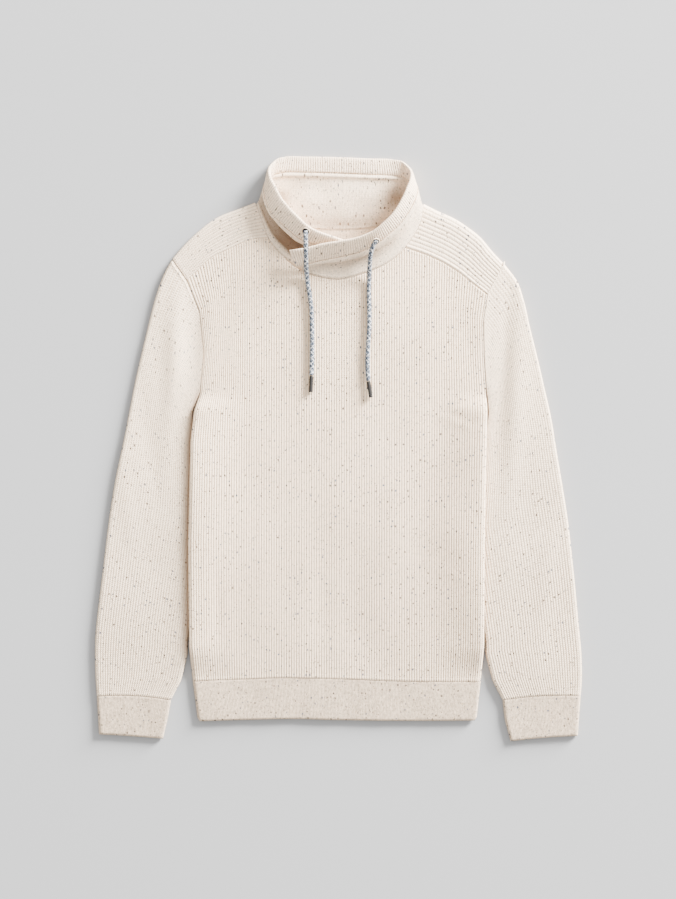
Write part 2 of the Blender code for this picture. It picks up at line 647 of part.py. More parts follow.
def make_sleeve(side):
    top_count = 2 * 36 + 1
    outer, inner = [], []
    for index, (outer_y, inner_y, keep, bow) in enumerate(SLEEVE_SECTIONS):
        start, end, curve = sleeve_section(side, outer_y, inner_y, keep, bow)
        ring, outer_at = flat_ring(start, end, curve, 0.0, UPPER, top_count, SLEEVE_TURN, ribs=SLEEVE_RIB_RISE)
        hollow, inner_at = flat_ring(start, end, curve, WALL, WALL + AIR, 11, 1.2, inset=WALL)
        for points in (ring, hollow):
            upper = points[:, 2] > UPPER / 2 + 0.6
            points[upper, 2] += fold_height(points[upper, 0], points[upper, 1])
        outer.append(ring)
        inner.append(hollow)
    return tube("sleeve_" + side, np.array(outer), np.array(inner), outer_at, inner_at)


def make_cuff(side):
    seam_start, seam_end, _ = sleeve_section(side, *SLEEVE_SECTIONS[-1])
    drop = 1.2 * GAP
    seam = (seam_start[0], seam_start[1] - drop, seam_end[0], seam_end[1] - drop, SLEEVE_SECTIONS[-1][3])
    outer, inner = [], []
    for outer_x, outer_y, inner_x, inner_y, bow in (seam, *CUFF[side]):
        start = (outer_x, outer_y)
        end = (inner_x, inner_y)

        def curve(place, bow=bow):
            return np.array([0.0, bow * 4 * place * (1 - place)])

        ring, outer_at = flat_ring(start, end, curve, 0.0, UPPER, 15, SLEEVE_TURN)
        hollow, inner_at = flat_ring(start, end, curve, WALL, WALL + AIR, 9, 1.2, inset=WALL)
        outer.append(ring)
        inner.append(hollow)
    return tube("cuff_" + side, np.array(outer), np.array(inner), outer_at, inner_at)


def make_hem_band():
    outer, inner = [], []
    for down in (0.0, 0.5, 0.94, 1.0):
        corner = 2.0 * ease((down - 0.9) * 10)
        start_x = mix(SIDE_EDGE[0][1], HEM_HALF[0], down) + corner
        end_x = mix(SIDE_EDGE[0][2], HEM_HALF[1], down) - corner

        def curve(place, down=down, start_x=start_x, end_x=end_x):
            x = mix(start_x, end_x, place)
            y = mix(hem_y(x), curve_at(column(HEM_EDGE, 0), column(HEM_EDGE, 1), x), down)
            return np.array([0.0, float(y)])

        ring, outer_at = flat_ring((start_x, 0.0), (end_x, 0.0), curve, 0.0, UPPER, 25, 5.0, under_count=23)
        hollow, inner_at = flat_ring(
            (start_x, 0.0), (end_x, 0.0), curve, WALL, WALL + AIR, 17, 1.2, inset=WALL, under_count=17
        )
        outer.append(ring)
        inner.append(hollow)
    return tube("hem_band", np.array(outer), np.array(inner), outer_at, inner_at)


def collar_table(places):
    """Rows of the collar's table at these places along the neckline, on smooth curves."""
    return curve_at(column(COLLAR, 0), np.array([row[1:] for row in COLLAR]), places)


def collar_seam(places):
    """Neckline seam of the collar in plan, a gap off the panels' edges and rounded at the shoulders."""
    offsets = np.linspace(-NECK_ROUNDING, NECK_ROUNDING, 11)
    _, along = neck_route()
    corners = (along[FRONT_FINE - 1], along[-1])
    points = []
    for place in places:
        soft = max(0.0, 1 - min(abs(place - corner) for corner in corners) / NECK_ROUNDING)
        near = place + offsets * soft
        tangent = neck_at(near + 0.5) - neck_at(near - 0.5)
        tangent /= np.linalg.norm(tangent, axis=1)[:, None]
        on_front = np.where((near < corners[0]) | (near > corners[1]), 1.0, -1.0)[:, None]
        off_panels = np.stack([-tangent[:, 1], tangent[:, 0]], axis=1) * on_front
        points.append(np.mean(neck_at(near) + off_panels * 2 * GAP, axis=0))
    return np.array(points)


def stand_surface(places, shares):
    """Outer face of the plain stand, from the neckline seam up to the foot of the band."""
    rows = collar_table(places)
    seam = np.concatenate([collar_seam(places), rows[:, :1]], axis=1)
    foot = rows[:, 1:4]
    form = curve_at(column(STAND_FORM, 0), np.array([row[1:] for row in STAND_FORM]), places)
    border, near, far, far_in, lip, lip_in = form.T
    zero = np.zeros(len(places))
    between = mix(near, far, FAR_PART)
    heights = np.stack([zero, border, near, between, far, lip, zero], axis=1)
    reaches = np.stack([zero, zero, zero, 0.5 * far_in, far_in, lip_in, zero], axis=1)
    inwards = foot[:, :2] - seam[:, :2]
    inwards /= np.linalg.norm(inwards, axis=1)[:, None]
    grid = []
    for share in shares:
        line = mix(seam, foot, share)
        line[:, 2] += [curve_at(STAND_SHARES, values, share) for values in heights]
        line[:, :2] += inwards * np.array([curve_at(STAND_SHARES, values, share) for values in reaches])[:, None]
        line[:, 2] = np.maximum(line[:, 2], 0.0)
        grid.append(line)
    return np.array(grid)


def inward_normals(grid):
    """Unit normals of a grid of points, towards the inside of the collar."""
    up = np.gradient(grid, axis=0)
    along = np.gradient(grid, axis=1)
    normal = np.cross(up, along)
    return normal / np.linalg.norm(normal, axis=2)[..., None]


def make_collar():
    places = np.linspace(COLLAR[0][0] + STAND_START, COLLAR[-1][0], STAND_PLACES)
    shares = np.array(STAND_ROWS)
    outer = stand_surface(places, shares)
    inward = inward_normals(outer)
    rows = collar_table(places)
    foot, top = rows[:, 1:4], rows[:, 4:7]
    outer[-1] = mix(foot, top, -FOOT_GAP / np.linalg.norm(top - foot, axis=1)[:, None])
    outer[-1, :, 2] = np.maximum(outer[-1, :, 2], 0.0)
    inward[-1] = inward_normals(np.array([foot, top]))[0]
    height = np.linalg.norm(outer[-1] - outer[0], axis=1)
    inner = outer + inward * (WALL * np.clip(height / FULL_WALL_AT, LEAST_WALL, 1.0))[None, :, None]
    columns = np.linspace(0, 1, len(places))
    return sheet("collar", outer, inner, (shares, columns), (shares, columns))


def make_collar_band():
    """The ribbed tunnel along the collar's top: one ring of points for each crest and trough."""
    fine = np.linspace(COLLAR[0][0], COLLAR[-1][0], 900)
    rows = collar_table(fine)
    middle = (rows[:, 1:4] + rows[:, 4:7]) / 2
    along = lengths_along(middle)
    ribs = round(along[-1] / BAND_RIB_PITCH)
    places = np.interp(np.linspace(0, along[-1], 2 * ribs + 1), along, fine)
    rows = collar_table(places)
    foot, top = rows[:, 1:4], rows[:, 4:7]
    inward = inward_normals(np.array([foot, top]))
    wave = (rib_wave(ribs) * BAND_RIB_RISE)[:, None]
    resting = (foot[:, 2] < 0.6)[:, None]
    out_wave = np.where(resting, 0.0, wave)
    rings = np.array([
        foot - inward[0] * out_wave,
        top + inward[1] * (BAND_ROUNDING - out_wave),
        top + inward[1] * (BAND_THICKNESS - BAND_ROUNDING + wave),
        foot + inward[0] * (BAND_THICKNESS - BAND_ROUNDING + wave),
    ])
    rings[..., 2] = np.maximum(rings[..., 2], 0.0)
    piece = Piece()
    numbers = piece.grid(rings.transpose(1, 0, 2))
    around = np.hstack([numbers, numbers[:, :1]])
    piece.skin(around)
    for end in (numbers[0][::-1], numbers[-1]):
        piece.faces.append(tuple(end))
    return piece.build("collar_band", CREAM)


def make_cord(name, points):
    """A drawstring end: a round tube on a smooth curve through its route."""
    curve = bpy.data.curves.new(name, "CURVE")
    curve.dimensions = "3D"
    curve.bevel_depth = CORD_RADIUS * METRES
    curve.bevel_resolution = 2
    curve.use_fill_caps = True
    spline = curve.splines.new("POLY")
    places = route(points, CORD_POINTS) * METRES
    spline.points.add(CORD_POINTS - 1)
    for point, place in zip(spline.points, places):
        point.co = (*place, 1.0)
    curve.materials.append(finish(name, STRING_BLUE, 0.8))
    cord = bpy.data.objects.new(name, curve)
    bpy.context.scene.collection.objects.link(cord)
    return cord


def make_tip(name, points, heading):
    """The dipped end of a drawstring: a round bar with a domed end, in line with the cord."""
    end = np.array(points[-1], float)
    direction = np.array([*heading, 0.0]) / np.linalg.norm(heading)
    side = np.array([direction[1], -direction[0], 0.0])
    up = np.array([0.0, 0.0, 1.0])
    rings = []
    for distance, radius in ((GAP, 0.94), (1.2, 1.0), (TIP_LENGTH - 2.6, 0.97), (TIP_LENGTH - 0.9, 0.72), (TIP_LENGTH, 0.3)):
        turn = np.linspace(0, 2 * math.pi, 12, endpoint=False)[:, None]
        centre = end + direction * distance
        rings.append(centre + TIP_RADIUS * radius * (np.cos(turn) * side + np.sin(turn) * up))
    piece = Piece()
    numbers = piece.grid(np.array(rings))
    piece.skin(np.hstack([numbers, numbers[:, :1]]))
    piece.faces.append(tuple(numbers[0][::-1]))
    piece.faces.append(tuple(numbers[-1]))
    return piece.build(name, TIP_BROWN, 0.5)


def clear_scene():
    for item in list(bpy.data.objects):
        bpy.data.objects.remove(item)


def main():
    clear_scene()
    make_back()
    make_front()
    for side in ("left", "right"):
        make_yoke(side)
        make_sleeve(side)
        make_cuff(side)
    make_hem_band()
    make_collar()
    make_collar_band()
    make_cord("cord_left", CORD_LEFT)
    make_cord("cord_right", CORD_RIGHT)
    make_tip("tip_left", CORD_LEFT, (-0.8, -23.0))
    make_tip("tip_right", CORD_RIGHT, (3.4, -23.0))


main()
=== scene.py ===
"""The pullover's knit, seams, drawstring, light and camera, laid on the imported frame.

Sizes are in millimetres until a mesh is made, in the frame's own axes: x to the right of the
photograph, y towards the collar and z up off the surface. Left and right are those of the picture.
"""

import math

import bmesh
import bpy
import numpy as np
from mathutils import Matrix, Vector

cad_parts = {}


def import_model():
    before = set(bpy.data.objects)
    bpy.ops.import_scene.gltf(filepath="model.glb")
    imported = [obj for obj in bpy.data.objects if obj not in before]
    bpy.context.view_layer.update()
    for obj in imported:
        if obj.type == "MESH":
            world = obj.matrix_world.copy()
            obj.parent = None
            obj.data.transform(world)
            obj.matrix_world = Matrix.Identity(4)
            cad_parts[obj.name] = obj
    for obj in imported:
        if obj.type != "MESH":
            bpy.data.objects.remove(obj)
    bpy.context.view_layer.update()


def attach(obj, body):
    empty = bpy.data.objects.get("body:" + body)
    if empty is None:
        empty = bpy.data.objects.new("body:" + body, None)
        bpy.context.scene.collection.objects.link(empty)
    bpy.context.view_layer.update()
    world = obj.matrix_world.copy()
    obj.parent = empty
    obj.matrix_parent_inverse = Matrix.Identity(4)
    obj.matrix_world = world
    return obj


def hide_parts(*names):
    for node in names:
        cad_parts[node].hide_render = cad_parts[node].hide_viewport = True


METRES = 0.001

# The photograph
PHOTO_WIDTH = 676
PHOTO_HEIGHT = 899
MM_PER_PIXEL = 1.37
PHOTO_CENTRE = (337.5, 448.75)    # pixel over the frame's origin
CAMERA_LENS = 180.0
SENSOR = 36.0

# The cloth
WALL = 2.2          # thickness of the plain knit
AIR = 2.4           # hollow between the two layers of a flattened tube
GAP = 0.3           # between two pieces at a seam
RIB_PITCH = 3.45    # from rib to rib on the front and the sleeves
RIB_RISE = 0.8      # height of a rib on the front and the yokes
SLEEVE_RIB_RISE = 0.5
YOKE_RIBS = 11
BAND_RIB_PITCH = 3.25
BAND_RIB_RISE = 0.45
BAND_THICKNESS = 5.0
UPPER = WALL + AIR + WALL   # top of the upper layer, between its ribs

# The body lies over the inner margin of each sleeve
SLEEVE_LIFT = 8.2    # how far the body stands off the surface there
LIFT_RAMP = 34.0     # over which it comes back down towards the middle
LIFT_MARGIN = 6.0    # level part past the sleeve's inner fold
SIDE_TURN = 7.0      # width of the rounded side fold
TURN_ABOVE = 6.0     # how far over the underarm the side fold starts, and the length it grows over
TURN_LENGTH = 14.0
INNER_INSET = 1.9    # how far the wall's inside lies in from a side fold
HALF_WIDTH = 204.0   # of the body, before its side edges bend the outer columns
SIDE_SHARE = 0.25    # share of the width, at each side, whose columns bend with the edge
UNDERARM = 78.0      # y of both underarm points
HEM_EASE = (-312.0, -270.0)   # y between which the lift grows from nothing to full

# Side edge of the body up to the underarm: y, left x, right x
SIDE_EDGE = (
    (-318.0, -198.0, 196.0),
    (-270.0, -203.0, 200.5),
    (-130.0, -204.5, 201.5),
    (12.0, -201.0, 204.0),
    (50.0, -196.5, 205.0),
    (78.0, -188.0, 204.0),
)
# Armhole seam from the underarm to the yoke: share of the way up, left x, right x
ARMHOLE = (
    (0.00, -188.0, 204.0),
    (0.35, -183.0, 201.0),
    (0.72, -189.0, 200.0),
    (1.00, -206.0, 206.0),
)
# How far the sleeve's inner fold lies inside the body's edge: y, distance
SLEEVE_REACH = (
    (-420.0, -52.0),
    (-344.0, -30.0),
    (-317.0, -16.0),
    (-280.0, -3.0),
    (-262.0, -1.5),
    (-120.0, 21.0),
    (46.0, -1.6),
    (66.0, -1.2),
    (78.0, -0.4),
)
# Lower seam of the front panel and lower edge of the hem band: x, y
HEM_SEAM = (
    (-204.0, -318.3), (-140.0, -316.0), (-76.0, -313.5), (2.0, -315.0), (110.0, -318.5), (204.0, -319.0),
)
HEM_EDGE = (
    (-204.0, -373.5), (-118.0, -371.0), (-62.0, -370.0), (2.0, -371.5), (110.0, -372.5), (204.0, -372.0),
)
HEM_HALF = (-191.0, 190.0)    # x of the band's two lower corners

# Neckline: the front half from left to right, then the back half from right to left
FRONT_NECK = (
    (-113.0, 337.0), (-103.0, 311.0), (-95.0, 288.0), (-78.0, 267.0), (-58.0, 249.0), (-33.0, 238.0),
    (2.0, 232.0), (36.0, 240.0), (65.0, 252.0), (86.0, 268.0), (102.0, 288.0), (114.0, 310.0), (118.0, 335.0),
)
BACK_NECK = (
    (118.0, 335.0), (92.0, 312.0), (50.0, 302.0), (0.0, 298.5), (-50.0, 302.0), (-88.0, 312.0),
    (-113.0, 337.0),
)
FRONT_FINE = 200    # fine points on each half of the neckline
BACK_FINE = 160
# Yoke seams on the front, from the neckline to the armhole, and the shoulder folds above them
YOKE_SEAM = {
    "left": (
        (-95.5, 289.5), (-115.0, 287.0), (-147.0, 274.0), (-175.0, 260.0), (-194.0, 242.0),
        (-206.0, 231.0),
    ),
    "right": (
        (92.5, 275.0), (114.0, 268.0), (142.0, 256.0), (165.0, 242.0), (184.0, 227.0), (206.0, 210.0),
    ),
}
SHOULDER = {
    "left": (
        (-113.0, 337.0), (-131.0, 330.0), (-169.0, 314.0), (-191.0, 297.0), (-216.0, 272.0),
        (-226.0, 260.0),
    ),
    "right": (
        (118.0, 335.0), (138.0, 325.0), (160.0, 315.0), (180.0, 302.0), (195.0, 290.0), (212.0, 270.0),
        (229.0, 252.0),
    ),
}

# Outer edge of each sleeve: y, x
SLEEVE_OUTLINE = {
    "left": (
        (-397.0, -327.0), (-338.0, -329.5), (-317.0, -331.0), (-290.0, -332.0), (-251.0, -331.0),
        (-218.0, -327.5), (-169.0, -321.5), (-103.0, -313.5), (-37.0, -303.0), (12.0, -292.5),
        (61.0, -283.0), (94.0, -276.5), (127.0, -269.0), (160.0, -261.0), (185.0, -255.0),
        (209.0, -248.5), (242.0, -236.0), (260.0, -226.0),
    ),
    "right": (
        (-397.0, 329.0), (-343.0, 332.5), (-317.0, 334.5), (-284.0, 334.0), (-235.0, 329.5),
        (-185.0, 325.0), (-152.0, 321.5), (-103.0, 316.0), (-54.0, 308.5), (-4.0, 300.0), (45.0, 292.0),
        (78.0, 284.5), (111.0, 277.0), (140.0, 270.0), (166.0, 263.5), (205.0, 254.5), (231.0, 245.0),
        (252.0, 229.0),
    ),
}
# Sections of a sleeve from the armhole to the cuff: y on its outer edge, y on its inner fold,
# share of the armhole's curve that it keeps, bow of the section towards the shoulder
SLEEVE_SECTIONS = (
    (258.0, 78.0, 1.00, 0.0),
    (226.0, 64.0, 0.75, 0.0),
    (180.0, 44.0, 0.40, 0.0),
    (110.0, -4.0, 0.10, 0.0),
    (0.0, -88.0, 0.00, 0.0),
    (-110.0, -170.0, 0.00, 0.0),
    (-225.0, -262.0, 0.00, 0.0),
    (-296.0, -302.0, 0.00, 2.0),
    (-338.5, -344.0, 0.00, 3.5),
)
# Cuffs below their seam: outer x, outer y, inner x, inner y, bow
CUFF = {
    "left": ((-328.0, -364.0, -232.5, -369.5, 1.5), (-326.5, -391.0, -239.0, -397.0, 0.5)),
    "right": ((331.0, -365.0, 229.0, -371.0, 2.0), (329.0, -393.0, 237.0, -400.5, 1.0)),
}
SLEEVE_TURN = 4.5    # width of the rounded fold at a sleeve's edge

# Soft folds: x, y, length, width, turn in degrees from the y axis, height (troughs are negative)
FOLDS = (
    (-196.0, 140.0, 130.0, 13.0, -4.0, -1.9),
    (-226.0, 150.0, 150.0, 16.0, 8.0, 1.2),
    (-262.0, 20.0, 220.0, 14.0, 10.0, -1.0),
    (228.0, 120.0, 200.0, 11.0, -4.0, -1.8),
    (252.0, 60.0, 180.0, 15.0, -7.0, 1.1),
    (-120.0, -120.0, 240.0, 30.0, 3.0, 1.0),
    (120.0, -160.0, 210.0, 34.0, -4.0, 0.9),
    (20.0, -210.0, 160.0, 26.0, 2.0, -1.1),
    (150.0, 90.0, 150.0, 22.0, -10.0, -0.9),
)

# The collar strip from its upper end, which crosses over the front, right round the neck to its
# lower end beneath: place along the neckline from its front centre, height of the seam, then the
# foot of the ribbed band and its top edge. The points lie on the strip's outer face.
COLLAR = (
    # neck, seam_z, foot_x, foot_y, foot_z, top_x, top_y, top_z
    (-57.0, 9.6, -56.4, 247.5, 16.0, -66.0, 270.0, 26.0),
    (-44.0, 8.2, -42.0, 251.0, 17.5, -45.5, 272.5, 30.0),
    (-25.0, 7.6, -23.0, 256.0, 20.0, -21.0, 278.0, 35.0),
    (0.0, 7.6, 6.2, 261.5, 22.5, 6.0, 282.3, 38.5),
    (30.0, 7.5, 33.0, 268.5, 24.5, 29.0, 287.0, 40.5),
    (58.0, 7.4, 54.5, 279.5, 27.5, 50.0, 295.6, 43.5),
    (84.0, 7.2, 71.0, 292.0, 30.0, 62.5, 305.0, 45.5),
    (110.0, 7.0, 88.0, 309.0, 31.0, 78.0, 321.0, 45.5),
    (137.0, 6.9, 101.5, 329.0, 30.0, 91.0, 343.5, 42.0),
    (157.0, 6.6, 108.0, 343.5, 26.0, 97.0, 357.5, 37.0),
    (168.0, 5.8, 110.4, 353.8, 20.0, 101.5, 369.0, 29.5),
    (179.0, 3.6, 107.5, 363.0, 11.0, 102.5, 380.5, 18.0),
    (192.0, 1.2, 98.5, 369.0, 3.5, 94.0, 391.0, 7.0),
    (216.0, 0.0, 83.0, 373.0, 0.0, 78.0, 396.0, 0.8),
    (255.0, 0.0, 42.0, 375.5, 0.0, 42.0, 397.5, 0.0),
    (298.0, 0.0, -1.0, 377.5, 0.0, -1.0, 399.3, 0.0),
    (339.0, 0.0, -43.0, 378.5, 0.0, -43.0, 400.0, 0.0),
    (378.0, 0.0, -78.0, 377.5, 0.0, -74.0, 399.6, 0.8),
    (402.0, 1.2, -92.5, 372.5, 3.5, -88.0, 394.0, 7.0),
    (415.0, 3.6, -99.5, 365.0, 11.0, -95.5, 383.5, 18.0),
    (425.0, 5.8, -101.8, 354.5, 19.0, -93.5, 372.0, 27.0),
    (435.0, 6.6, -100.0, 341.5, 23.5, -86.5, 359.5, 31.5),
    (448.0, 6.9, -94.0, 326.0, 25.5, -78.8, 344.5, 34.5),
    (467.0, 7.0, -81.5, 311.0, 26.5, -66.5, 328.5, 36.5),
    (488.0, 7.0, -67.0, 297.5, 26.0, -53.5, 315.0, 37.0),
    (508.0, 6.6, -53.5, 286.8, 24.5, -41.0, 303.3, 36.0),
    (530.0, 5.4, -35.8, 279.5, 22.0, -28.0, 296.0, 34.0),
    (556.0, 4.9, -15.0, 273.5, 19.0, -10.0, 289.5, 31.5),
    (590.0, 4.9, 10.0, 266.5, 15.0, 11.5, 282.5, 27.0),
    (622.0, 4.9, 36.0, 258.0, 10.8, 39.0, 273.5, 19.5),
)
# Form of the plain stand between the seam and the band, off the straight line between them: place
# along the neckline, then heights of the border, of the hollow's near and far side, how far the far
# side reaches in under the band, height of the lip under the band and how far the lip reaches out
STAND_FORM = (
    # neck, border_z, near_z, far_z, far_in, lip_z, lip_in
    (-57.0, 0.0, 0.0, 0.0, 0.0, 0.0, 0.0),
    (-30.0, 0.0, -0.6, -1.0, 0.0, 0.0, -1.0),
    (0.0, -0.8, -1.2, -1.5, 0.3, -0.5, -3.0),
    (30.0, -1.0, -1.8, -2.5, 0.5, -0.8, -4.0),
    (60.0, -1.3, -3.0, -5.0, 1.0, -1.2, -5.0),
    (120.0, -1.0, -3.0, -5.5, 1.0, -1.0, -4.5),
    (160.0, 0.0, -1.0, -2.5, 0.5, 0.0, -2.0),
    (190.0, 0.0, 0.0, 0.0, 0.0, 0.0, 0.0),
    (208.0, 0.0, 0.0, 0.0, 0.0, 0.0, 0.0),
    (402.0, 0.0, 0.0, 0.0, 0.0, 0.0, 0.0),
    (412.0, 0.0, 0.0, 0.0, 0.0, 0.0, 0.0),
    (430.0, -1.0, -4.5, -7.5, 1.5, -1.0, -0.5),
    (448.0, -2.0, -8.5, -14.5, 3.0, -1.5, -1.0),
    (467.0, -2.3, -9.4, -16.6, 3.5, -2.0, -1.0),
    (490.0, -2.3, -9.4, -16.2, 3.5, -2.0, -1.0),
    (512.0, -2.0, -8.2, -13.8, 3.0, -2.0, -1.0),
    (535.0, -1.0, -4.8, -7.8, 1.5, -1.0, 0.0),
    (565.0, 0.0, -1.2, -1.8, 0.0, 0.0, 0.0),
    (590.0, 0.0, 0.0, 0.0, 0.0, 0.0, 0.0),
    (622.0, 0.0, 0.0, 0.0, 0.0, 0.0, 0.0),
)
# Where the form's heights lie, from the seam to the foot, and how far the fourth is from near to far
STAND_SHARES = (0.0, 0.22, 0.40, 0.68, 0.76, 0.90, 1.0)
FAR_PART = 0.78
NECK_ROUNDING = 10.0   # how far each side of a shoulder point the neckline seam of the collar is rounded
STAND_START = 7.0      # how far the plain stand starts behind the band's upper end
FULL_WALL_AT = 12.0    # height of the stand from which its wall is full, and its least share below
LEAST_WALL = 0.4

# Drawstring
CORD_RADIUS = 3.2
TIP_RADIUS = 2.8
TIP_LENGTH = 23.0
CORD_LEFT = (
    (-43.5, 297.0, 36.5), (-43.3, 287.0, 37.2), (-43.2, 277.0, 36.6), (-43.1, 268.0, 33.6),
    (-43.0, 258.0, 27.8), (-42.8, 248.0, 21.6), (-42.2, 239.0, 15.4), (-41.0, 229.0, 11.9),
    (-38.6, 214.0, 11.2), (-36.0, 195.0, 11.2), (-35.0, 172.0, 11.2), (-34.8, 148.0, 11.2),
    (-35.0, 124.0, 11.2), (-35.6, 100.3, 11.2),
)
CORD_RIGHT = (
    (53.0, 284.0, 38.5), (48.5, 276.5, 36.0), (45.6, 268.0, 32.0), (44.4, 259.0, 27.0),
    (43.8, 250.0, 21.6), (43.4, 241.0, 15.8), (43.1, 231.0, 12.0), (42.9, 214.0, 11.2),
    (43.3, 189.0, 11.2), (43.2, 164.0, 11.2), (41.8, 139.0, 11.2), (41.0, 114.0, 11.2),
    (42.3, 92.8, 11.2),
)

# Finer sampling of the solids' own forms
RIB_STEPS = 5             # columns to a rib
YOKE_STEPS = 8
BAND_STEPS = 6
BODY_ROWS = 60
YOKE_ROWS = 34
SLEEVE_RIBS = 36
SEAM_ROWS = (0.0, 0.5, 1.0, 1.6, 2.3, 3.2, 4.4, 6.0)   # distances of close rows from a sewn edge
YOKE_PITCH = 4.6
WALE = 2.0                # width of a stitch in the plain knit
SEAM_GAP = 0.1            # half of the gap that shows at a seam
PATTERN_SHIFT = 200.0     # ribs by which a right piece's flecks differ from the left one's
LOWER_LENGTH = 396.0      # of the body, from its hem seam to the underarm
UPPER_LENGTH = 170.0      # and from the underarm to its upper edge
ROUTE_STEPS = 40          # fine points for each given point of a route
INSIDE_TURN = 1.2         # width of the fold of a flattened tube's hollow
SLEEVE_INSIDE = 30        # points across each hollow
CUFF_INSIDE = 24
HEM_INSIDE = 60
CUFF_FLAT_WIDTH = 100.0   # over which a cuff's wales are counted
HEM_FLAT_WIDTH = 400.0
HEM_DEPTH = 55.0
UNDER_COUNT = 40          # points across the underside of a sleeve or cuff
CUFF_ACROSS = 90          # and across the upper side
HEM_ACROSS = 260
STAND_ACROSS = 300
CORD_ALONG = 260
COLLAR_FINE = 900         # fine points along the collar's tables
EDGE_ROWS = 22            # rows of a cuff and of the hem band
EDGE_ROUNDING = 3.0       # over which their free edges are rounded
ARMHOLE_STEP = 34.0       # distance of the sleeve's second section from the armhole
CUFF_STEP = 42.0          # and of its last but one from the cuff
YOKE_DEPTH = 48.0         # of a yoke's welts, across and along it
YOKE_LENGTH = 120.0

# Drawstring
CORD_STRANDS = 4
CORD_LAY = 5.5            # length along the cord in which a strand crosses its neighbour
EYELET_RADIUS = 5.2
EYELET_RIM = 0.55
EYELETS = {"left": (-43.4, 296.0, 36.4), "right": (52.0, 282.0, 37.6)}
TIP_HEADING = {"left": (-0.8, -23.0), "right": (3.4, -23.0)}

# The front's drape over the sleeves: how far outside the back's ramp its own starts, and its length
DRAPE_START = 20.0
DRAPE_RAMP = 90.0

# Finer creases: x, y, length, width, turn in degrees from the y axis, height
CREASES = (
    (-223.0, 130.0, 270.0, 12.0, -3.8, 2.3),
    (-180.0, 150.0, 130.0, 10.0, -2.0, 0.9),
    (199.0, 130.0, 240.0, 8.0, 0.0, 1.2),
    (243.0, 70.0, 260.0, 13.0, -3.0, 1.8),
    (160.0, 38.0, 90.0, 3.4, 69.0, 0.9),
    (160.0, 46.0, 90.0, 4.0, 69.0, -0.7),
    (157.0, -171.0, 70.0, 4.0, 72.0, 0.6),
    (-21.0, -210.0, 170.0, 16.0, 1.0, -1.6),
    (72.0, -145.0, 160.0, 24.0, -3.0, 1.3),
    (-164.0, -215.0, 120.0, 8.0, 2.0, -0.9),
    (-290.0, -60.0, 200.0, 12.0, 8.0, 0.8),
    (285.0, -190.0, 180.0, 13.0, -6.0, 0.9),
)

# Painted warm shade inside the collar, where its own walls shade it: x, y, half width, half height, amount
COLLAR_SHADES = (
    (-78.0, 344.0, 14.0, 10.0, 0.60),
    (80.0, 344.0, 18.0, 16.0, 0.68),
    (-53.0, 364.0, 14.0, 9.0, 0.30),
    (5.0, 308.0, 66.0, 15.0, 0.62),
    (-20.0, 332.0, 26.0, 9.0, 0.25),
    (46.0, 338.0, 20.0, 11.0, 0.28),
)
HOLLOW_SHADE = 0.90       # painted shade in the hollow under the collar's left side
STRIP_SHADE = 0.32        # painted shade under the strip that crosses over
CREASE_SHADE = {"left": 0.80, "right": 0.25}    # painted shadow on each sleeve beside the body that lies over it
CREASE_WIDTH = 9.0

# Flecks: spacing, chance and radius
STRONG_FLECKS = (5.6, 0.30, 1.00)
SMALL_FLECKS = (3.2, 0.45, 0.68)
STRONG_AMOUNT = 0.92
SMALL_AMOUNT = 0.60
KNIT_LIGHT = 0.95         # mean lightness of the yarn
PATCH_SIZE = 75.0         # of the slow variation in lightness
PATCH_AMOUNT = 0.15
KNIT_ROUGHNESS = 0.92
KNIT_DEPTH = 0.42         # of the stitches' relief
FLOOR_DROP = 0.0002       # metres that the floor lies under the cloth

# Colours as linear red, green and blue
CREAM = (0.90, 0.715, 0.525)
# Painted shade: a darker copy of the cream for the hem band, cuffs and back, for the light fading towards the
# hem
CREAM_LOWER_SHADED = (0.76, 0.590, 0.425)
TROUGH_SHADE_TONE = (0.80, 0.68, 0.52)     # painted shade: share of the cream that is left deep between the ribs
BAND_TROUGH_SHADE = (0.52, 0.42, 0.34)     # and painted shade between the crowded ribs of the collar band
SHADE_BROWN = (0.20, 0.105, 0.050)   # colour of painted shade, for the depth of a fold that little light reaches
FLECK_BROWN = (0.050, 0.030, 0.020)
FLECK_BLUE = (0.050, 0.065, 0.095)
FLECK_TAN = (0.42, 0.25, 0.12)
CORD_DARK = (0.020, 0.026, 0.040)
CORD_BLUE = (0.125, 0.148, 0.180)
CORD_WHITE = (0.72, 0.72, 0.70)
TIP_DARK = (0.012, 0.011, 0.010)
TIP_BROWN = (0.026, 0.023, 0.021)
# Painted shade: the dark disc that stands for the inside of an eyelet
EYELET_SHADE = (0.03, 0.022, 0.018)
PAINTED_LIGHT_SLOPE = 0.00045     # painted light falloff: how much paler each millimetre nearer the collar is
FLOOR_GREY = (0.355, 0.355, 0.355)

# Light
FLOOR_SIZE = 12.0
KEY_DIRECTION = 42.0      # degrees from the x axis, so the light comes from the upper right
KEY_ELEVATION = 16.5
KEY_DISTANCE = 9.0
KEY_SIZE = 3.6
KEY_POWER = 9900.0
ROOM_LIGHT = (1.0, 1.0, 1.0)
ROOM_STRENGTH = 1.55


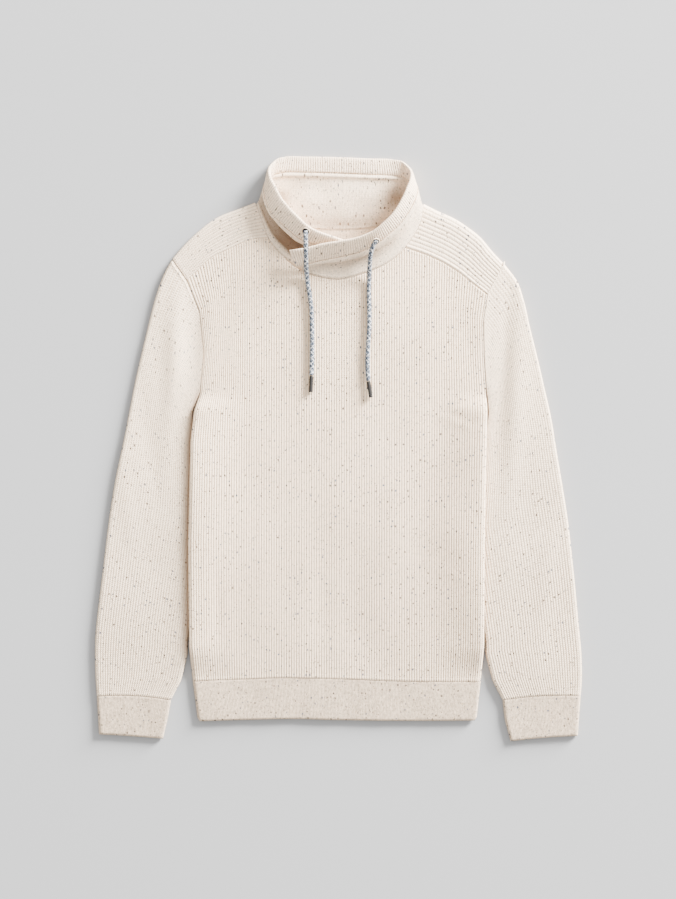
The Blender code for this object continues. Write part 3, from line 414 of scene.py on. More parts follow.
def curve_at(knots, values, at):
    """Reads a smooth curve through rows of values, in one column or several, at the places given."""
    knots = np.asarray(knots, float)
    values = np.asarray(values, float)
    single = values.ndim == 1
    if single:
        values = values[:, None]
    gaps = np.diff(knots)[:, None]
    steps = np.diff(values, axis=0) / gaps
    middle = (steps[:-1] * gaps[1:] + steps[1:] * gaps[:-1]) / (gaps[:-1] + gaps[1:])
    slopes = np.vstack([steps[:1], middle, steps[-1:]])
    at = np.clip(np.asarray(at, float), knots[0], knots[-1])
    row = np.clip(np.searchsorted(knots, at, side="right") - 1, 0, len(knots) - 2)
    gap = gaps[row]
    t = ((at - knots[row]) / gap[..., 0])[..., None]
    found = (
        (2 * t**3 - 3 * t**2 + 1) * values[row]
        + (t**3 - 2 * t**2 + t) * gap * slopes[row]
        + (3 * t**2 - 2 * t**3) * values[row + 1]
        + (t**3 - t**2) * gap * slopes[row + 1]
    )
    return found[..., 0] if single else found


def column(table, index):
    return np.array([row[index] for row in table], float)


def ease(share):
    """Goes smoothly from 0 to 1."""
    share = np.clip(share, 0.0, 1.0)
    return share * share * (3 - 2 * share)


def mix(a, b, share):
    return a + (b - a) * share


def lengths_along(points):
    """Distance from the first point to each one."""
    steps = np.linalg.norm(np.diff(np.asarray(points, float), axis=0), axis=1)
    return np.concatenate([[0.0], np.cumsum(steps)])


def route(points, count):
    """Evenly spaced points on a smooth curve through the points given."""
    points = np.asarray(points, float)
    total = lengths_along(points)[-1]
    fine = curve_at(lengths_along(points), points, np.linspace(0, total, ROUTE_STEPS * len(points)))
    along = lengths_along(fine)
    places = np.linspace(0, along[-1], count)
    return np.stack([np.interp(places, along, fine[:, axis]) for axis in range(fine.shape[1])], axis=1)


def side_x(side, y):
    """x of the body's side edge below the underarm."""
    return np.interp(y, column(SIDE_EDGE, 0), column(SIDE_EDGE, 1 if side == "left" else 2))


def yoke_corner(side):
    return YOKE_SEAM[side][-1]


def armhole_points(side):
    """The armhole seam from the underarm up to the shoulder fold."""
    top = yoke_corner(side)[1]
    points = [(row[1 if side == "left" else 2], mix(UNDERARM, top, row[0])) for row in ARMHOLE]
    return np.array(points + [SHOULDER[side][-1]])


def armhole_x(side, y):
    points = armhole_points(side)
    return np.interp(y, points[:, 1], points[:, 0])


def body_edge_x(side, y):
    return np.where(np.asarray(y) < UNDERARM, side_x(side, y), armhole_x(side, y))


def sleeve_reach(y):
    return np.interp(y, column(SLEEVE_REACH, 0), column(SLEEVE_REACH, 1))


def body_lift(x, y):
    """How far the back's underside stands off the surface: it lies over the sleeves at both sides."""
    along = ease((UNDERARM - y) / (UNDERARM - 50.0)) * ease((y - HEM_EASE[0]) / (HEM_EASE[1] - HEM_EASE[0]))
    level = np.maximum(sleeve_reach(y), 0.0) + LIFT_MARGIN
    from_left = x - side_x("left", y)
    from_right = side_x("right", y) - x
    nearest = np.minimum(from_left, from_right)
    return SLEEVE_LIFT * along * ease(1 - (nearest - level) / LIFT_RAMP)


def fold_height(x, y):
    """Height that the soft folds add to the upper layer."""
    total = np.zeros(np.broadcast(x, y).shape)
    for fold_x, fold_y, length, width, turn, height in FOLDS:
        angle = math.radians(turn)
        across = (x - fold_x) * math.cos(angle) + (y - fold_y) * math.sin(angle)
        along = (y - fold_y) * math.cos(angle) - (x - fold_x) * math.sin(angle)
        total += height * np.exp(-((across / width) ** 2) - (2 * along / length) ** 2)
    return total


def round_turn(distance, width):
    """Quarter ellipse: 0 at the edge, 1 from this width inwards."""
    share = np.clip(distance / width, 0.0, 1.0)
    return np.sqrt(1 - (1 - share) ** 2)


def neck_route():
    """The whole neckline as fine points, with each one's distance from the front centre."""
    front = route(FRONT_NECK, FRONT_FINE)
    back = route(BACK_NECK, BACK_FINE)
    loop = np.vstack([front, back[1:]])
    along = lengths_along(loop)
    return loop, along - along[np.argmin(front[:, 1])]


def neck_at(place):
    """Points of the neckline at distances from its front centre, going right round the neck."""
    loop, along = neck_route()
    place = (np.asarray(place, float) - along[0]) % (along[-1] - along[0]) + along[0]
    return np.stack([np.interp(place, along, loop[:, 0]), np.interp(place, along, loop[:, 1])], axis=-1)


def front_neck_y(x):
    loop, _ = neck_route()
    front = loop[:FRONT_FINE]
    return np.interp(x, front[:, 0], front[:, 1])


def seam_y(side, x):
    points = route(YOKE_SEAM[side], 80)
    order = np.argsort(points[:, 0])
    return np.interp(x, points[order, 0], points[order, 1])


def front_top_y(x):
    """Upper edge of the front panel: a yoke seam at each side, the neckline between them."""
    left = YOKE_SEAM["left"][0][0]
    right = YOKE_SEAM["right"][0][0]
    return np.where(x < left, seam_y("left", x), np.where(x > right, seam_y("right", x), front_neck_y(x)))


def back_top_y(x):
    """Upper edge of the back panel: a shoulder at each side, the back neckline between them."""
    left = route(SHOULDER["left"], 80)[::-1]
    right = route(SHOULDER["right"], 80)
    neck = route(BACK_NECK, BACK_FINE)[::-1]
    outline = np.vstack([left, neck[1:], right[1:]])
    return np.interp(x, outline[:, 0], outline[:, 1])


def hem_y(x):
    return curve_at(column(HEM_SEAM, 0), column(HEM_SEAM, 1), x)


class Piece:
    """Points, faces and knit places of one closed piece of cloth while it is made."""

    def __init__(self):
        self.points = []
        self.places = []
        self.faces = []
        self.corners = []
        self.count = 0

    def grid(self, points, ribs, along):
        """Adds a grid of points, with the rib that each lies on and its distance along it in mm."""
        points = np.asarray(points, float)
        shape = points.shape[:2]
        numbers = self.count + np.arange(shape[0] * shape[1]).reshape(shape)
        places = np.stack([np.broadcast_to(ribs, shape), np.broadcast_to(along, shape)], axis=-1)
        self.points.append(points.reshape(-1, 3))
        self.places.append(places.reshape(-1, 2))
        self.count += numbers.size
        return numbers, places

    def skin(self, numbers, places, reverse=False):
        """Faces between the rows of a grid."""
        order = ((0, 0), (0, 1), (1, 1), (1, 0))
        if reverse:
            order = order[::-1]
        rows, columns = numbers.shape
        parts = [(slice(r, rows - 1 + r), slice(c, columns - 1 + c)) for r, c in order]
        self.faces += np.stack([numbers[part].ravel() for part in parts], axis=1).tolist()
        self.corners.append(np.stack([places[part].reshape(-1, 2) for part in parts], axis=1).reshape(-1, 2))

    def face(self, numbers):
        """One face whose corners take their own points' knit places."""
        self.faces.append([int(number) for number in numbers])
        places = np.vstack(self.places)
        self.corners.append(places[list(self.faces[-1])])

    def zip_edges(self, first, second, first_at, second_at):
        """Triangles between two edges with different numbers of points, matched by their places."""
        i = j = 0
        made = []
        while i < len(first) - 1 or j < len(second) - 1:
            step_first = j == len(second) - 1 or (i < len(first) - 1 and first_at[i + 1] <= second_at[j + 1])
            if step_first:
                made.append((first[i], first[i + 1], second[j]))
                i += 1
            else:
                made.append((first[i], second[j + 1], second[j]))
                j += 1
        made = np.array(made)
        self.faces += made.tolist()
        self.corners.append(np.vstack(self.places)[made.ravel()])

    def build(self, name, material, sharp=50, shades=None):
        mesh = bpy.data.meshes.new(name)
        mesh.from_pydata((np.vstack(self.points) * METRES).tolist(), [], self.faces)
        layer = mesh.uv_layers.new(name="Knit")
        layer.data.foreach_set("uv", np.vstack(self.corners).ravel())
        # Shade holds painted shade that the knit's colour takes
        if shades is not None:
            mesh.attributes.new("Shade", "FLOAT", "POINT").data.foreach_set("value", shades)
        work = bmesh.new()
        work.from_mesh(mesh)
        bmesh.ops.recalc_face_normals(work, faces=work.faces)
        work.to_mesh(mesh)
        work.free()
        mesh.shade_smooth()
        mesh.set_sharp_from_angle(angle=math.radians(sharp))
        mesh.materials.append(material)
        piece = bpy.data.objects.new(name, mesh)
        bpy.context.scene.collection.objects.link(piece)
        return piece


def sheet(name, outer, inner, outer_at, inner_at, ribs, along, material):
    """A wall between a fine outer grid and a plainer inner one, closed round its four edges."""
    piece = Piece()
    outer, outer_places = piece.grid(outer, ribs, along)
    inner, inner_places = piece.grid(inner, 0.5, 0.0)
    piece.skin(outer, outer_places)
    piece.skin(inner, inner_places, reverse=True)
    piece.zip_edges(inner[0], outer[0], inner_at[1], outer_at[1])
    piece.zip_edges(outer[-1], inner[-1], outer_at[1], inner_at[1])
    piece.zip_edges(outer[:, 0], inner[:, 0], outer_at[0], inner_at[0])
    piece.zip_edges(inner[:, -1], outer[:, -1], inner_at[0], outer_at[0])
    return piece.build(name, material)


def closed(grid):
    return np.concatenate([grid, grid[:, :1]], axis=1)


def tube(name, outer, inner, outer_at, inner_at, ribs, along, material, shades=None):
    """A wall between two stacks of rings, open inside and closed round both ends."""
    piece = Piece()
    if shades is not None:
        shades = np.concatenate([shades.ravel(), np.zeros(inner.shape[0] * inner.shape[1])])
    outer, outer_places = piece.grid(outer, ribs, along)
    inner, inner_places = piece.grid(inner, 0.5, 0.0)
    outer, outer_places = closed(outer), closed(outer_places)
    inner, inner_places = closed(inner), closed(inner_places)
    outer_at = np.append(outer_at, 1.0)
    inner_at = np.append(inner_at, 1.0)
    piece.skin(outer, outer_places)
    piece.skin(inner, inner_places, reverse=True)
    piece.zip_edges(inner[0], outer[0], inner_at, outer_at)
    piece.zip_edges(outer[-1], inner[-1], outer_at, inner_at)
    return piece.build(name, material, shades=shades)


def drift(x, y, size, start=0.0):
    """Slow uneven variation from -1 to 1 over about this size."""
    x, y = x / size, y / size
    return (
        np.sin(1.7 * x + 0.6 * y + 1.3 + start)
        + np.sin(1.3 * y - 0.8 * x + 4.1 + 2 * start)
        + np.sin(0.9 * x + 1.1 * y + 2.2 - start)
    ) / 3


def draped_lift(x, y):
    """Height of the front over the sleeves: it comes down more slowly than the back under it."""
    along = ease((UNDERARM - y) / (UNDERARM - 50.0)) * ease((y - HEM_EASE[0]) / (HEM_EASE[1] - HEM_EASE[0]))
    level = np.maximum(sleeve_reach(y), 0.0) + LIFT_MARGIN - DRAPE_START
    nearest = np.minimum(x - side_x("left", y), side_x("right", y) - x)
    return SLEEVE_LIFT * along * ease(1 - (nearest - level) / DRAPE_RAMP)


def crease_height(x, y):
    """Height of the finer creases, which only the knit shows."""
    total = np.zeros(np.broadcast(x, y).shape)
    for crease_x, crease_y, length, width, turn, height in CREASES:
        angle = math.radians(turn)
        across = (x - crease_x) * math.cos(angle) + (y - crease_y) * math.sin(angle)
        along = (y - crease_y) * math.cos(angle) - (x - crease_x) * math.sin(angle)
        total += height * np.exp(-((across / width) ** 2) - (2 * along / length) ** 2)
    return total


def rib(phase):
    """Height of a rib, 0 in its troughs and 1 on its round crest. The phase counts ribs."""
    return np.abs(np.sin(math.pi * phase)) ** 0.8


def welt(distance, height=0.5, groove=0.25):
    """A sewn edge: a low ridge beside the seam and a groove down into it."""
    return height * np.exp(-(((distance - 2.6) / 1.5) ** 2)) - groove * np.exp(-((distance / 0.9) ** 2))


def row_shares(length, count, low_edge, high_edge):
    """Shares of a panel's length: even rows, with close ones beside an edge that is sewn."""
    shares = list(np.linspace(0, 1, count))
    close = np.array(SEAM_ROWS) / length
    if low_edge:
        shares += list(close)
    if high_edge:
        shares += list(1 - close)
    shares = np.unique(np.round(shares, 6))
    keep = [True] + [gap > 0.35 / length for gap in np.diff(shares)]
    keep[-1] = True
    return shares[keep]


def panel_rows(low, top):
    """y of each row of a body panel, from the hem to the underarm and on to its upper edge."""
    lower = row_shares(LOWER_LENGTH, BODY_ROWS, True, False)
    upper = row_shares(UPPER_LENGTH, YOKE_ROWS, False, True)[1:]
    rows = [mix(low, UNDERARM, share) for share in lower]
    rows += [mix(UNDERARM, top, share) for share in upper]
    return np.array(rows)


def panel_grid(columns, top_of):
    """x and y of a body panel's points. Its columns are straight, and bend only near the side edges."""
    straight = mix(-HALF_WIDTH, HALF_WIDTH, columns)[None, :]
    pull_left = np.clip(1 - columns / SIDE_SHARE, 0, 1) ** 2
    pull_right = np.clip(1 - (1 - columns) / SIDE_SHARE, 0, 1) ** 2
    x = straight
    for _ in range(5):
        y = panel_rows(hem_y(x[0]), top_of(x[-1]))
        shift_left = body_edge_x("left", y[:, :1]) + HALF_WIDTH
        shift_right = body_edge_x("right", y[:, -1:]) - HALF_WIDTH
        x = straight + pull_left * shift_left + pull_right * shift_right
    return x, y


def edge_distance(x, y):
    return np.minimum(x - body_edge_x("left", y), body_edge_x("right", y) - x)


def inner_picks(count, step):
    """Columns that the plain inner face keeps: all of them near the side folds, few between."""
    near = np.array([0, 3, 6, 9, 13, 18, 24])
    return np.unique(np.concatenate([near, np.arange(30, count - 30, step), count - 1 - near]))


def make_front(material):
    ribs = round((yoke_corner("right")[0] - yoke_corner("left")[0]) / RIB_PITCH)
    columns = np.linspace(0, 1, RIB_STEPS * ribs + 1)
    x, y = panel_grid(columns, front_top_y)
    y[0] += SEAM_GAP
    y[-1, 1:-1] -= SEAM_GAP
    lift = body_lift(x, y)
    uneven = 0.45 * drift(x, y, 46.0) + 0.25 * drift(x, y, 19.0, 2.0) + crease_height(x, y)
    level = draped_lift(x, y) + UPPER + fold_height(x, y) + uneven * ease(edge_distance(x, y) / 25.0)
    foot = lift + WALL + GAP
    turned = ease((UNDERARM + TURN_ABOVE - y) / TURN_LENGTH)
    distance = edge_distance(x, y)
    side = mix(level, mix(foot, level, round_turn(distance, SIDE_TURN)), turned)
    rise = RIB_RISE * (1 + 0.12 * drift(x, y, 33.0, 1.0)) * ease(distance / 2.0)
    sewn = welt(np.abs(y - y[-1:]), 0.2, 0.25) + welt(np.abs(y - y[:1]), 0.2, 0.5)
    outer = np.stack([x, y, side + rise * rib(columns * ribs)[None, :] + sewn], axis=-1)

    picks = inner_picks(len(columns), 12)
    inner_x, inner_y = x[:, picks].copy(), y[:, picks]
    inner_x[:, 0] += INNER_INSET * turned[:, 0]
    inner_x[:, -1] -= INNER_INSET * turned[:, -1]
    inset = edge_distance(inner_x, inner_y) - INNER_INSET * turned[:, picks]
    under = level[:, picks] - WALL
    bent = mix(foot[:, picks], under, round_turn(inset, SIDE_TURN - INNER_INSET))
    inner = np.stack([inner_x, inner_y, mix(under, bent, turned[:, picks])], axis=-1)
    rows = np.linspace(0, 1, len(y))
    return sheet("front_knit", outer, inner, (rows, columns), (rows, columns[picks]),
                 columns * ribs, y, material)


def make_back(material):
    columns = np.linspace(0, 1, 120)
    x, y = panel_grid(columns, back_top_y)
    y[0] += GAP
    lift = body_lift(x, y)
    under = np.stack([x, y, lift], axis=-1)
    over = np.stack([x, y, lift + WALL], axis=-1)
    rows = np.linspace(0, 1, len(y))
    wales = mix(-HALF_WIDTH, HALF_WIDTH, columns) / WALE
    piece = Piece()
    upper, upper_places = piece.grid(over, wales, y)
    lower, lower_places = piece.grid(under, wales, y)
    piece.skin(upper, upper_places)
    piece.skin(lower, lower_places, reverse=True)
    piece.zip_edges(lower[0], upper[0], columns, columns)
    piece.zip_edges(upper[-1], lower[-1], columns, columns)
    piece.zip_edges(upper[:, 0], lower[:, 0], rows, rows)
    piece.zip_edges(lower[:, -1], upper[:, -1], rows, rows)
    return piece.build("back_knit", material)


def make_yoke(side, material):
    """A shoulder panel: ribs run from the neckline to the armhole, and its upper edge folds down."""
    across = np.unique(np.round(np.concatenate([
        np.linspace(0, 1, YOKE_RIBS * YOKE_STEPS + 1), np.array(SEAM_ROWS) / 50.0
    ]), 5))
    along = np.linspace(0, 1, 64)
    low = route(YOKE_SEAM[side], len(along))
    high = route(SHOULDER[side], len(along))
    loop, places = neck_route()
    start = places[np.argmin(np.hypot(*(loop[:FRONT_FINE] - low[0]).T))]
    end = places[0] if side == "left" else places[FRONT_FINE - 1]
    neck = neck_at(mix(start, end, across) + (1e-3 if side == "left" else -1e-3))
    chord = mix(low[0], high[0], across[:, None])
    plan = mix(low[None, :], high[None, :], across[:, None, None])
    plan = plan + (neck - chord)[:, None, :] * (1 - along)[None, :, None] ** 2
    plan[0, :, 1] += SEAM_GAP
    rise = mix(WALL + GAP, UPPER, round_turn((1 - across) * 45.0, 9.0))
    wave = rib(across * YOKE_RIBS) * RIB_RISE * 0.8 * ease((1 - across) / 0.04)
    height = rise[:, None] + fold_height(plan[..., 0], plan[..., 1]) * (1 - across)[:, None]
    height = height + 0.3 * drift(plan[..., 0], plan[..., 1], 22.0) * (1 - across)[:, None]
    sewn = welt(across * YOKE_DEPTH, 0.45, 0.2)[:, None]
    sewn = sewn + welt((1 - along) * YOKE_LENGTH, 0.3, 0.3)[None, :]
    outer = np.concatenate([plan, (height + wave[:, None] + sewn)[..., None]], axis=-1)
    last = len(across) - 8
    picks = np.unique(np.concatenate([np.arange(0, last, 7), np.arange(last, len(across))]))
    inner = np.concatenate([plan[picks], (height[picks] - WALL)[..., None]], axis=-1)
    inner[..., 2] = np.maximum(inner[..., 2], WALL + GAP)
    inner[-1, :, :2] = mix(plan[-1], plan[-YOKE_STEPS], 0.5)
    far = route(YOKE_SEAM[side], 2)
    length = np.linalg.norm(far[1] - far[0])
    outer_at, inner_at = (across, along), (across[picks], along)
    ribs = (across * YOKE_RIBS)[:, None] + PATTERN_SHIFT * (side == "right")
    distance = (along * length)[None, :]
    if side == "left":
        outer, inner, distance = outer[:, ::-1], inner[:, ::-1], distance[:, ::-1]
    return sheet("yoke_knit_" + side, outer, inner, outer_at, inner_at, ribs, distance, material)


def flat_ring(start, end, bow, low, high, shares, turn, raised=0.0, inset=0.0, under_count=9):
    """One ring of a flattened tube: along the top from start to end, then back along the underside.

    start and end are the two folds in plan, and bow gives the points between them a curve.
    raised is added to the top. Returns the points and their places round the ring.
    """
    start, end = np.asarray(start, float), np.asarray(end, float)
    width = np.linalg.norm(end - start)
    under = np.linspace(1, 0, under_count)[1:-1]
    middle = (low + high) / 2

    def plan(share):
        place = mix(inset / width, 1 - inset / width, share)
        return mix(start, end, place[:, None]) + bow(place)

    def edge(share):
        return round_turn(np.minimum(share, 1 - share) * (width - 2 * inset), turn)

    top = np.column_stack([plan(shares), mix(middle, high, edge(shares)) + raised * edge(shares)])
    bottom = np.column_stack([plan(under), mix(middle, low, edge(under))])
    return np.vstack([top, bottom]), np.concatenate([0.5 * shares, 1 - 0.5 * under])


def sleeve_section(side, outer_y, inner_y, keep, bow):
    """The two folds of one section of a sleeve and the curve between them, in plan."""
    sign = -1.0 if side == "left" else 1.0
    outline = SLEEVE_OUTLINE[side]
    seam = armhole_points(side)
    outer_y = min(outer_y, seam[-1][1] - 0.5) if keep == 1.0 else outer_y
    start = np.array([curve_at(column(outline, 0), column(outline, 1), outer_y), outer_y])
    end = np.array([body_edge_x(side, inner_y) - sign * sleeve_reach(inner_y), inner_y])
    if keep == 1.0:
        start[0] = seam[-1][0]
        end[0] += sign * SEAM_GAP

    def curve(place):
        shift = np.zeros((len(place), 2))
        if keep > 0:
            seam_y_here = mix(seam[-1][1], seam[0][1], place)
            chord_x = mix(seam[-1][0], seam[0][0], place)
            shift[:, 0] += keep * (armhole_x(side, seam_y_here) - chord_x) + sign * SEAM_GAP * (keep == 1.0)
        shift[:, 1] += bow * 4 * place * (1 - place)
        return shift

    return start, end, curve


def make_sleeve(side, material):
    shares = np.linspace(0, 1, SLEEVE_RIBS * RIB_STEPS + 1)
    sections = np.array(SLEEVE_SECTIONS)
    last = len(sections) - 1
    steps = np.unique(np.round(np.concatenate([
        np.linspace(0, last, 80), np.array(SEAM_ROWS) / ARMHOLE_STEP, last - np.array(SEAM_ROWS) / CUFF_STEP
    ]), 5))
    outer, inner, along = [], [], []
    for step in steps:
        values = [np.interp(step, np.arange(last + 1), sections[:, index]) for index in range(4)]
        start, end, curve = sleeve_section(side, *values)
        from_armhole = ARMHOLE_STEP * step
        from_cuff = CUFF_STEP * (last - step)
        near_shoulder = ease((0.45 - shares) / 0.30)
        sewn = welt(from_armhole, 0.5, 0.2) * near_shoulder + welt(from_cuff, 0.2, 0.5)
        down = ease(step / last * 1.6 - 0.25)
        raised = SLEEVE_RIB_RISE * mix(0.55, 1.1, down) * rib(shares * SLEEVE_RIBS) + sewn
        ring, outer_at = flat_ring(
            start, end, curve, 0.0, UPPER, shares, SLEEVE_TURN, raised, under_count=UNDER_COUNT
        )
        hollow, inner_at = flat_ring(
            start, end, curve, WALL, WALL + AIR, np.linspace(0, 1, SLEEVE_INSIDE), INSIDE_TURN, inset=WALL
        )
        for points in (ring, hollow):
            upper = points[:, 2] > UPPER / 2 + 0.6
            x, y = points[upper, 0], points[upper, 1]
            share = ease((points[upper, 2] - UPPER / 2) / 2.0)
            uneven = 0.5 * drift(x, y, 30.0, 3.0) + crease_height(x, y)
            points[upper, 2] += fold_height(x, y) + share * uneven
        outer.append(ring)
        inner.append(hollow)
        along.append(mix(start, end, 0.5))
    ribs = np.concatenate([shares, np.linspace(1, 0, UNDER_COUNT)[1:-1]]) * SLEEVE_RIBS
    ribs = ribs + PATTERN_SHIFT * (side == "right")
    distance = lengths_along(along)[:, None]
    outer = np.array(outer)
    x, y = outer[..., 0], outer[..., 1]
    # Painted shadow of the body's edge on the sleeve, kept in the Shade attribute
    shades = CREASE_SHADE[side] * ease(1 - (np.abs(side_x(side, y)) - np.abs(x)) / -CREASE_WIDTH)
    shades = shades * ease((UNDERARM + 14.0 - y) / 26.0) * ease((y + 300.0) / 25.0)
    return tube("sleeve_knit_" + side, outer, np.array(inner), outer_at, inner_at, ribs[None, :], distance,
                material, shades=shades)


def edge_rounding(distance):
    """Share of the full height at this distance from a free edge."""
    return math.sqrt(max(0.0, 1 - (1 - min(distance / EDGE_ROUNDING, 1.0)) ** 2))


def make_cuff(side, material):
    seam_start, seam_end, _ = sleeve_section(side, *SLEEVE_SECTIONS[-1])
    drop = 1.2 * GAP
    seam = (seam_start[0], seam_start[1] - drop, seam_end[0], seam_end[1] - drop, SLEEVE_SECTIONS[-1][3])
    table = np.array([seam, *CUFF[side]])
    depth = abs(table[-1][1] - table[0][1])
    shares = np.linspace(0, 1, CUFF_ACROSS)
    outer, inner, along = [], [], []
    for down in row_shares(depth, EDGE_ROWS, True, True):
        values = [np.interp(down, (0.0, 0.5, 1.0), table[:, index]) for index in range(5)]
        start, end, bow = np.array(values[:2]), np.array(values[2:4]), values[4]
        rounded = edge_rounding((1 - down) * depth)

        def curve(place, bow=bow):
            return np.stack([0 * place, bow * 4 * place * (1 - place)], axis=1)

        plan = mix(start, end, shares[:, None])
        raised = 0.35 * drift(plan[:, 0], plan[:, 1], 14.0, 1.0) + welt(down * depth, 0.2, 0.5)
        high = mix(UPPER * 0.62, UPPER, rounded)
        ring, outer_at = flat_ring(
            start, end, curve, 0.0, high, shares, SLEEVE_TURN, raised, under_count=UNDER_COUNT
        )
        hollow, inner_at = flat_ring(
            start, end, curve, WALL, WALL + AIR, np.linspace(0, 1, CUFF_INSIDE), INSIDE_TURN, inset=WALL
        )
        hollow[:, 2] = np.minimum(hollow[:, 2], high - 0.9)
        outer.append(ring)
        inner.append(hollow)
        along.append(down * depth)
    wales = np.concatenate([shares, np.linspace(1, 0, UNDER_COUNT)[1:-1]]) * CUFF_FLAT_WIDTH / WALE
    wales = wales + PATTERN_SHIFT * (side == "right")
    return tube("cuff_knit_" + side, np.array(outer), np.array(inner), outer_at, inner_at, wales[None, :],
                np.array(along)[:, None], material)


def make_hem_band(material):
    shares = np.linspace(0, 1, HEM_ACROSS)
    depth = HEM_DEPTH
    outer, inner, along = [], [], []
    for down in row_shares(depth, EDGE_ROWS, True, True):
        corner = 2.0 * ease((down - 0.9) * 10)
        start_x = mix(SIDE_EDGE[0][1], HEM_HALF[0], down) + corner
        end_x = mix(SIDE_EDGE[0][2], HEM_HALF[1], down) - corner
        rounded = edge_rounding((1 - down) * depth)

        def curve(place, down=down, start_x=start_x, end_x=end_x):
            x = mix(start_x, end_x, place)
            y = mix(hem_y(x), curve_at(column(HEM_EDGE, 0), column(HEM_EDGE, 1), x), down)
            return np.stack([0 * place, y], axis=1)

        x = mix(start_x, end_x, shares)
        raised = 0.5 * drift(x, 55.0 * down, 21.0, 0.5) + 0.3 * drift(x, 20.0 * down, 9.0)
        raised = raised + welt(down * depth, 0.2, 0.5)
        high = mix(UPPER * 0.62, UPPER, rounded)
        ends = ((start_x, 0.0), (end_x, 0.0), curve)
        ring, outer_at = flat_ring(*ends, 0.0, high, shares, 5.0, raised, under_count=HEM_INSIDE)
        hollow, inner_at = flat_ring(
            *ends, WALL, WALL + AIR, np.linspace(0, 1, HEM_INSIDE), INSIDE_TURN,
            inset=WALL, under_count=HEM_INSIDE,
        )
        hollow[:, 2] = np.minimum(hollow[:, 2], high - 0.9)
        outer.append(ring)
        inner.append(hollow)
        along.append(down * depth)
    wales = np.concatenate([shares, np.linspace(1, 0, HEM_INSIDE)[1:-1]]) * HEM_FLAT_WIDTH / WALE
    return tube("hem_knit", np.array(outer), np.array(inner), outer_at, inner_at, wales[None, :],
                np.array(along)[:, None], material)


def collar_table(places):
    """Rows of the collar's table at these places along the neckline, on smooth curves."""
    return curve_at(column(COLLAR, 0), np.array([row[1:] for row in COLLAR]), places)


def collar_seam(places):
    """Neckline seam of the collar in plan, a gap off the panels' edges and rounded at the shoulders."""
    offsets = np.linspace(-NECK_ROUNDING, NECK_ROUNDING, 11)
    _, along = neck_route()
    corners = (along[FRONT_FINE - 1], along[-1])
    points = []
    for place in places:
        soft = max(0.0, 1 - min(abs(place - corner) for corner in corners) / NECK_ROUNDING)
        near = place + offsets * soft
        tangent = neck_at(near + 0.5) - neck_at(near - 0.5)
        tangent /= np.linalg.norm(tangent, axis=1)[:, None]
        on_front = np.where((near < corners[0]) | (near > corners[1]), 1.0, -1.0)[:, None]
        off_panels = np.stack([-tangent[:, 1], tangent[:, 0]], axis=1) * on_front
        points.append(np.mean(neck_at(near) + off_panels * SEAM_GAP, axis=0))
    return np.array(points)


def stand_surface(places, shares):
    """Outer face of the plain stand, from the neckline seam up to the foot of the band."""
    rows = collar_table(places)
    seam = np.concatenate([collar_seam(places), rows[:, :1]], axis=1)
    foot = rows[:, 1:4]
    form = curve_at(column(STAND_FORM, 0), np.array([row[1:] for row in STAND_FORM]), places)
    border, near, far, far_in, lip, lip_in = form.T
    zero = np.zeros(len(places))
    between = mix(near, far, FAR_PART)
    heights = np.stack([zero, border, near, between, far, lip, zero], axis=1)
    reaches = np.stack([zero, zero, zero, 0.5 * far_in, far_in, lip_in, zero], axis=1)
    inwards = foot[:, :2] - seam[:, :2]
    inwards /= np.linalg.norm(inwards, axis=1)[:, None]
    grid = []
    for share in shares:
        line = mix(seam, foot, share)
        line[:, 2] += [curve_at(STAND_SHARES, values, share) for values in heights]
        reach = np.array([curve_at(STAND_SHARES, values, share) for values in reaches])
        line[:, :2] += inwards * reach[:, None]
        line[:, 2] = np.maximum(line[:, 2], 0.0)
        grid.append(line)
    return np.array(grid)


def inward_normals(grid):
    """Unit normals of a grid of points, towards the inside of the collar."""
    up = np.gradient(grid, axis=0)
    along = np.gradient(grid, axis=1)
    normal = np.cross(up, along)
    return normal / np.linalg.norm(normal, axis=2)[..., None]


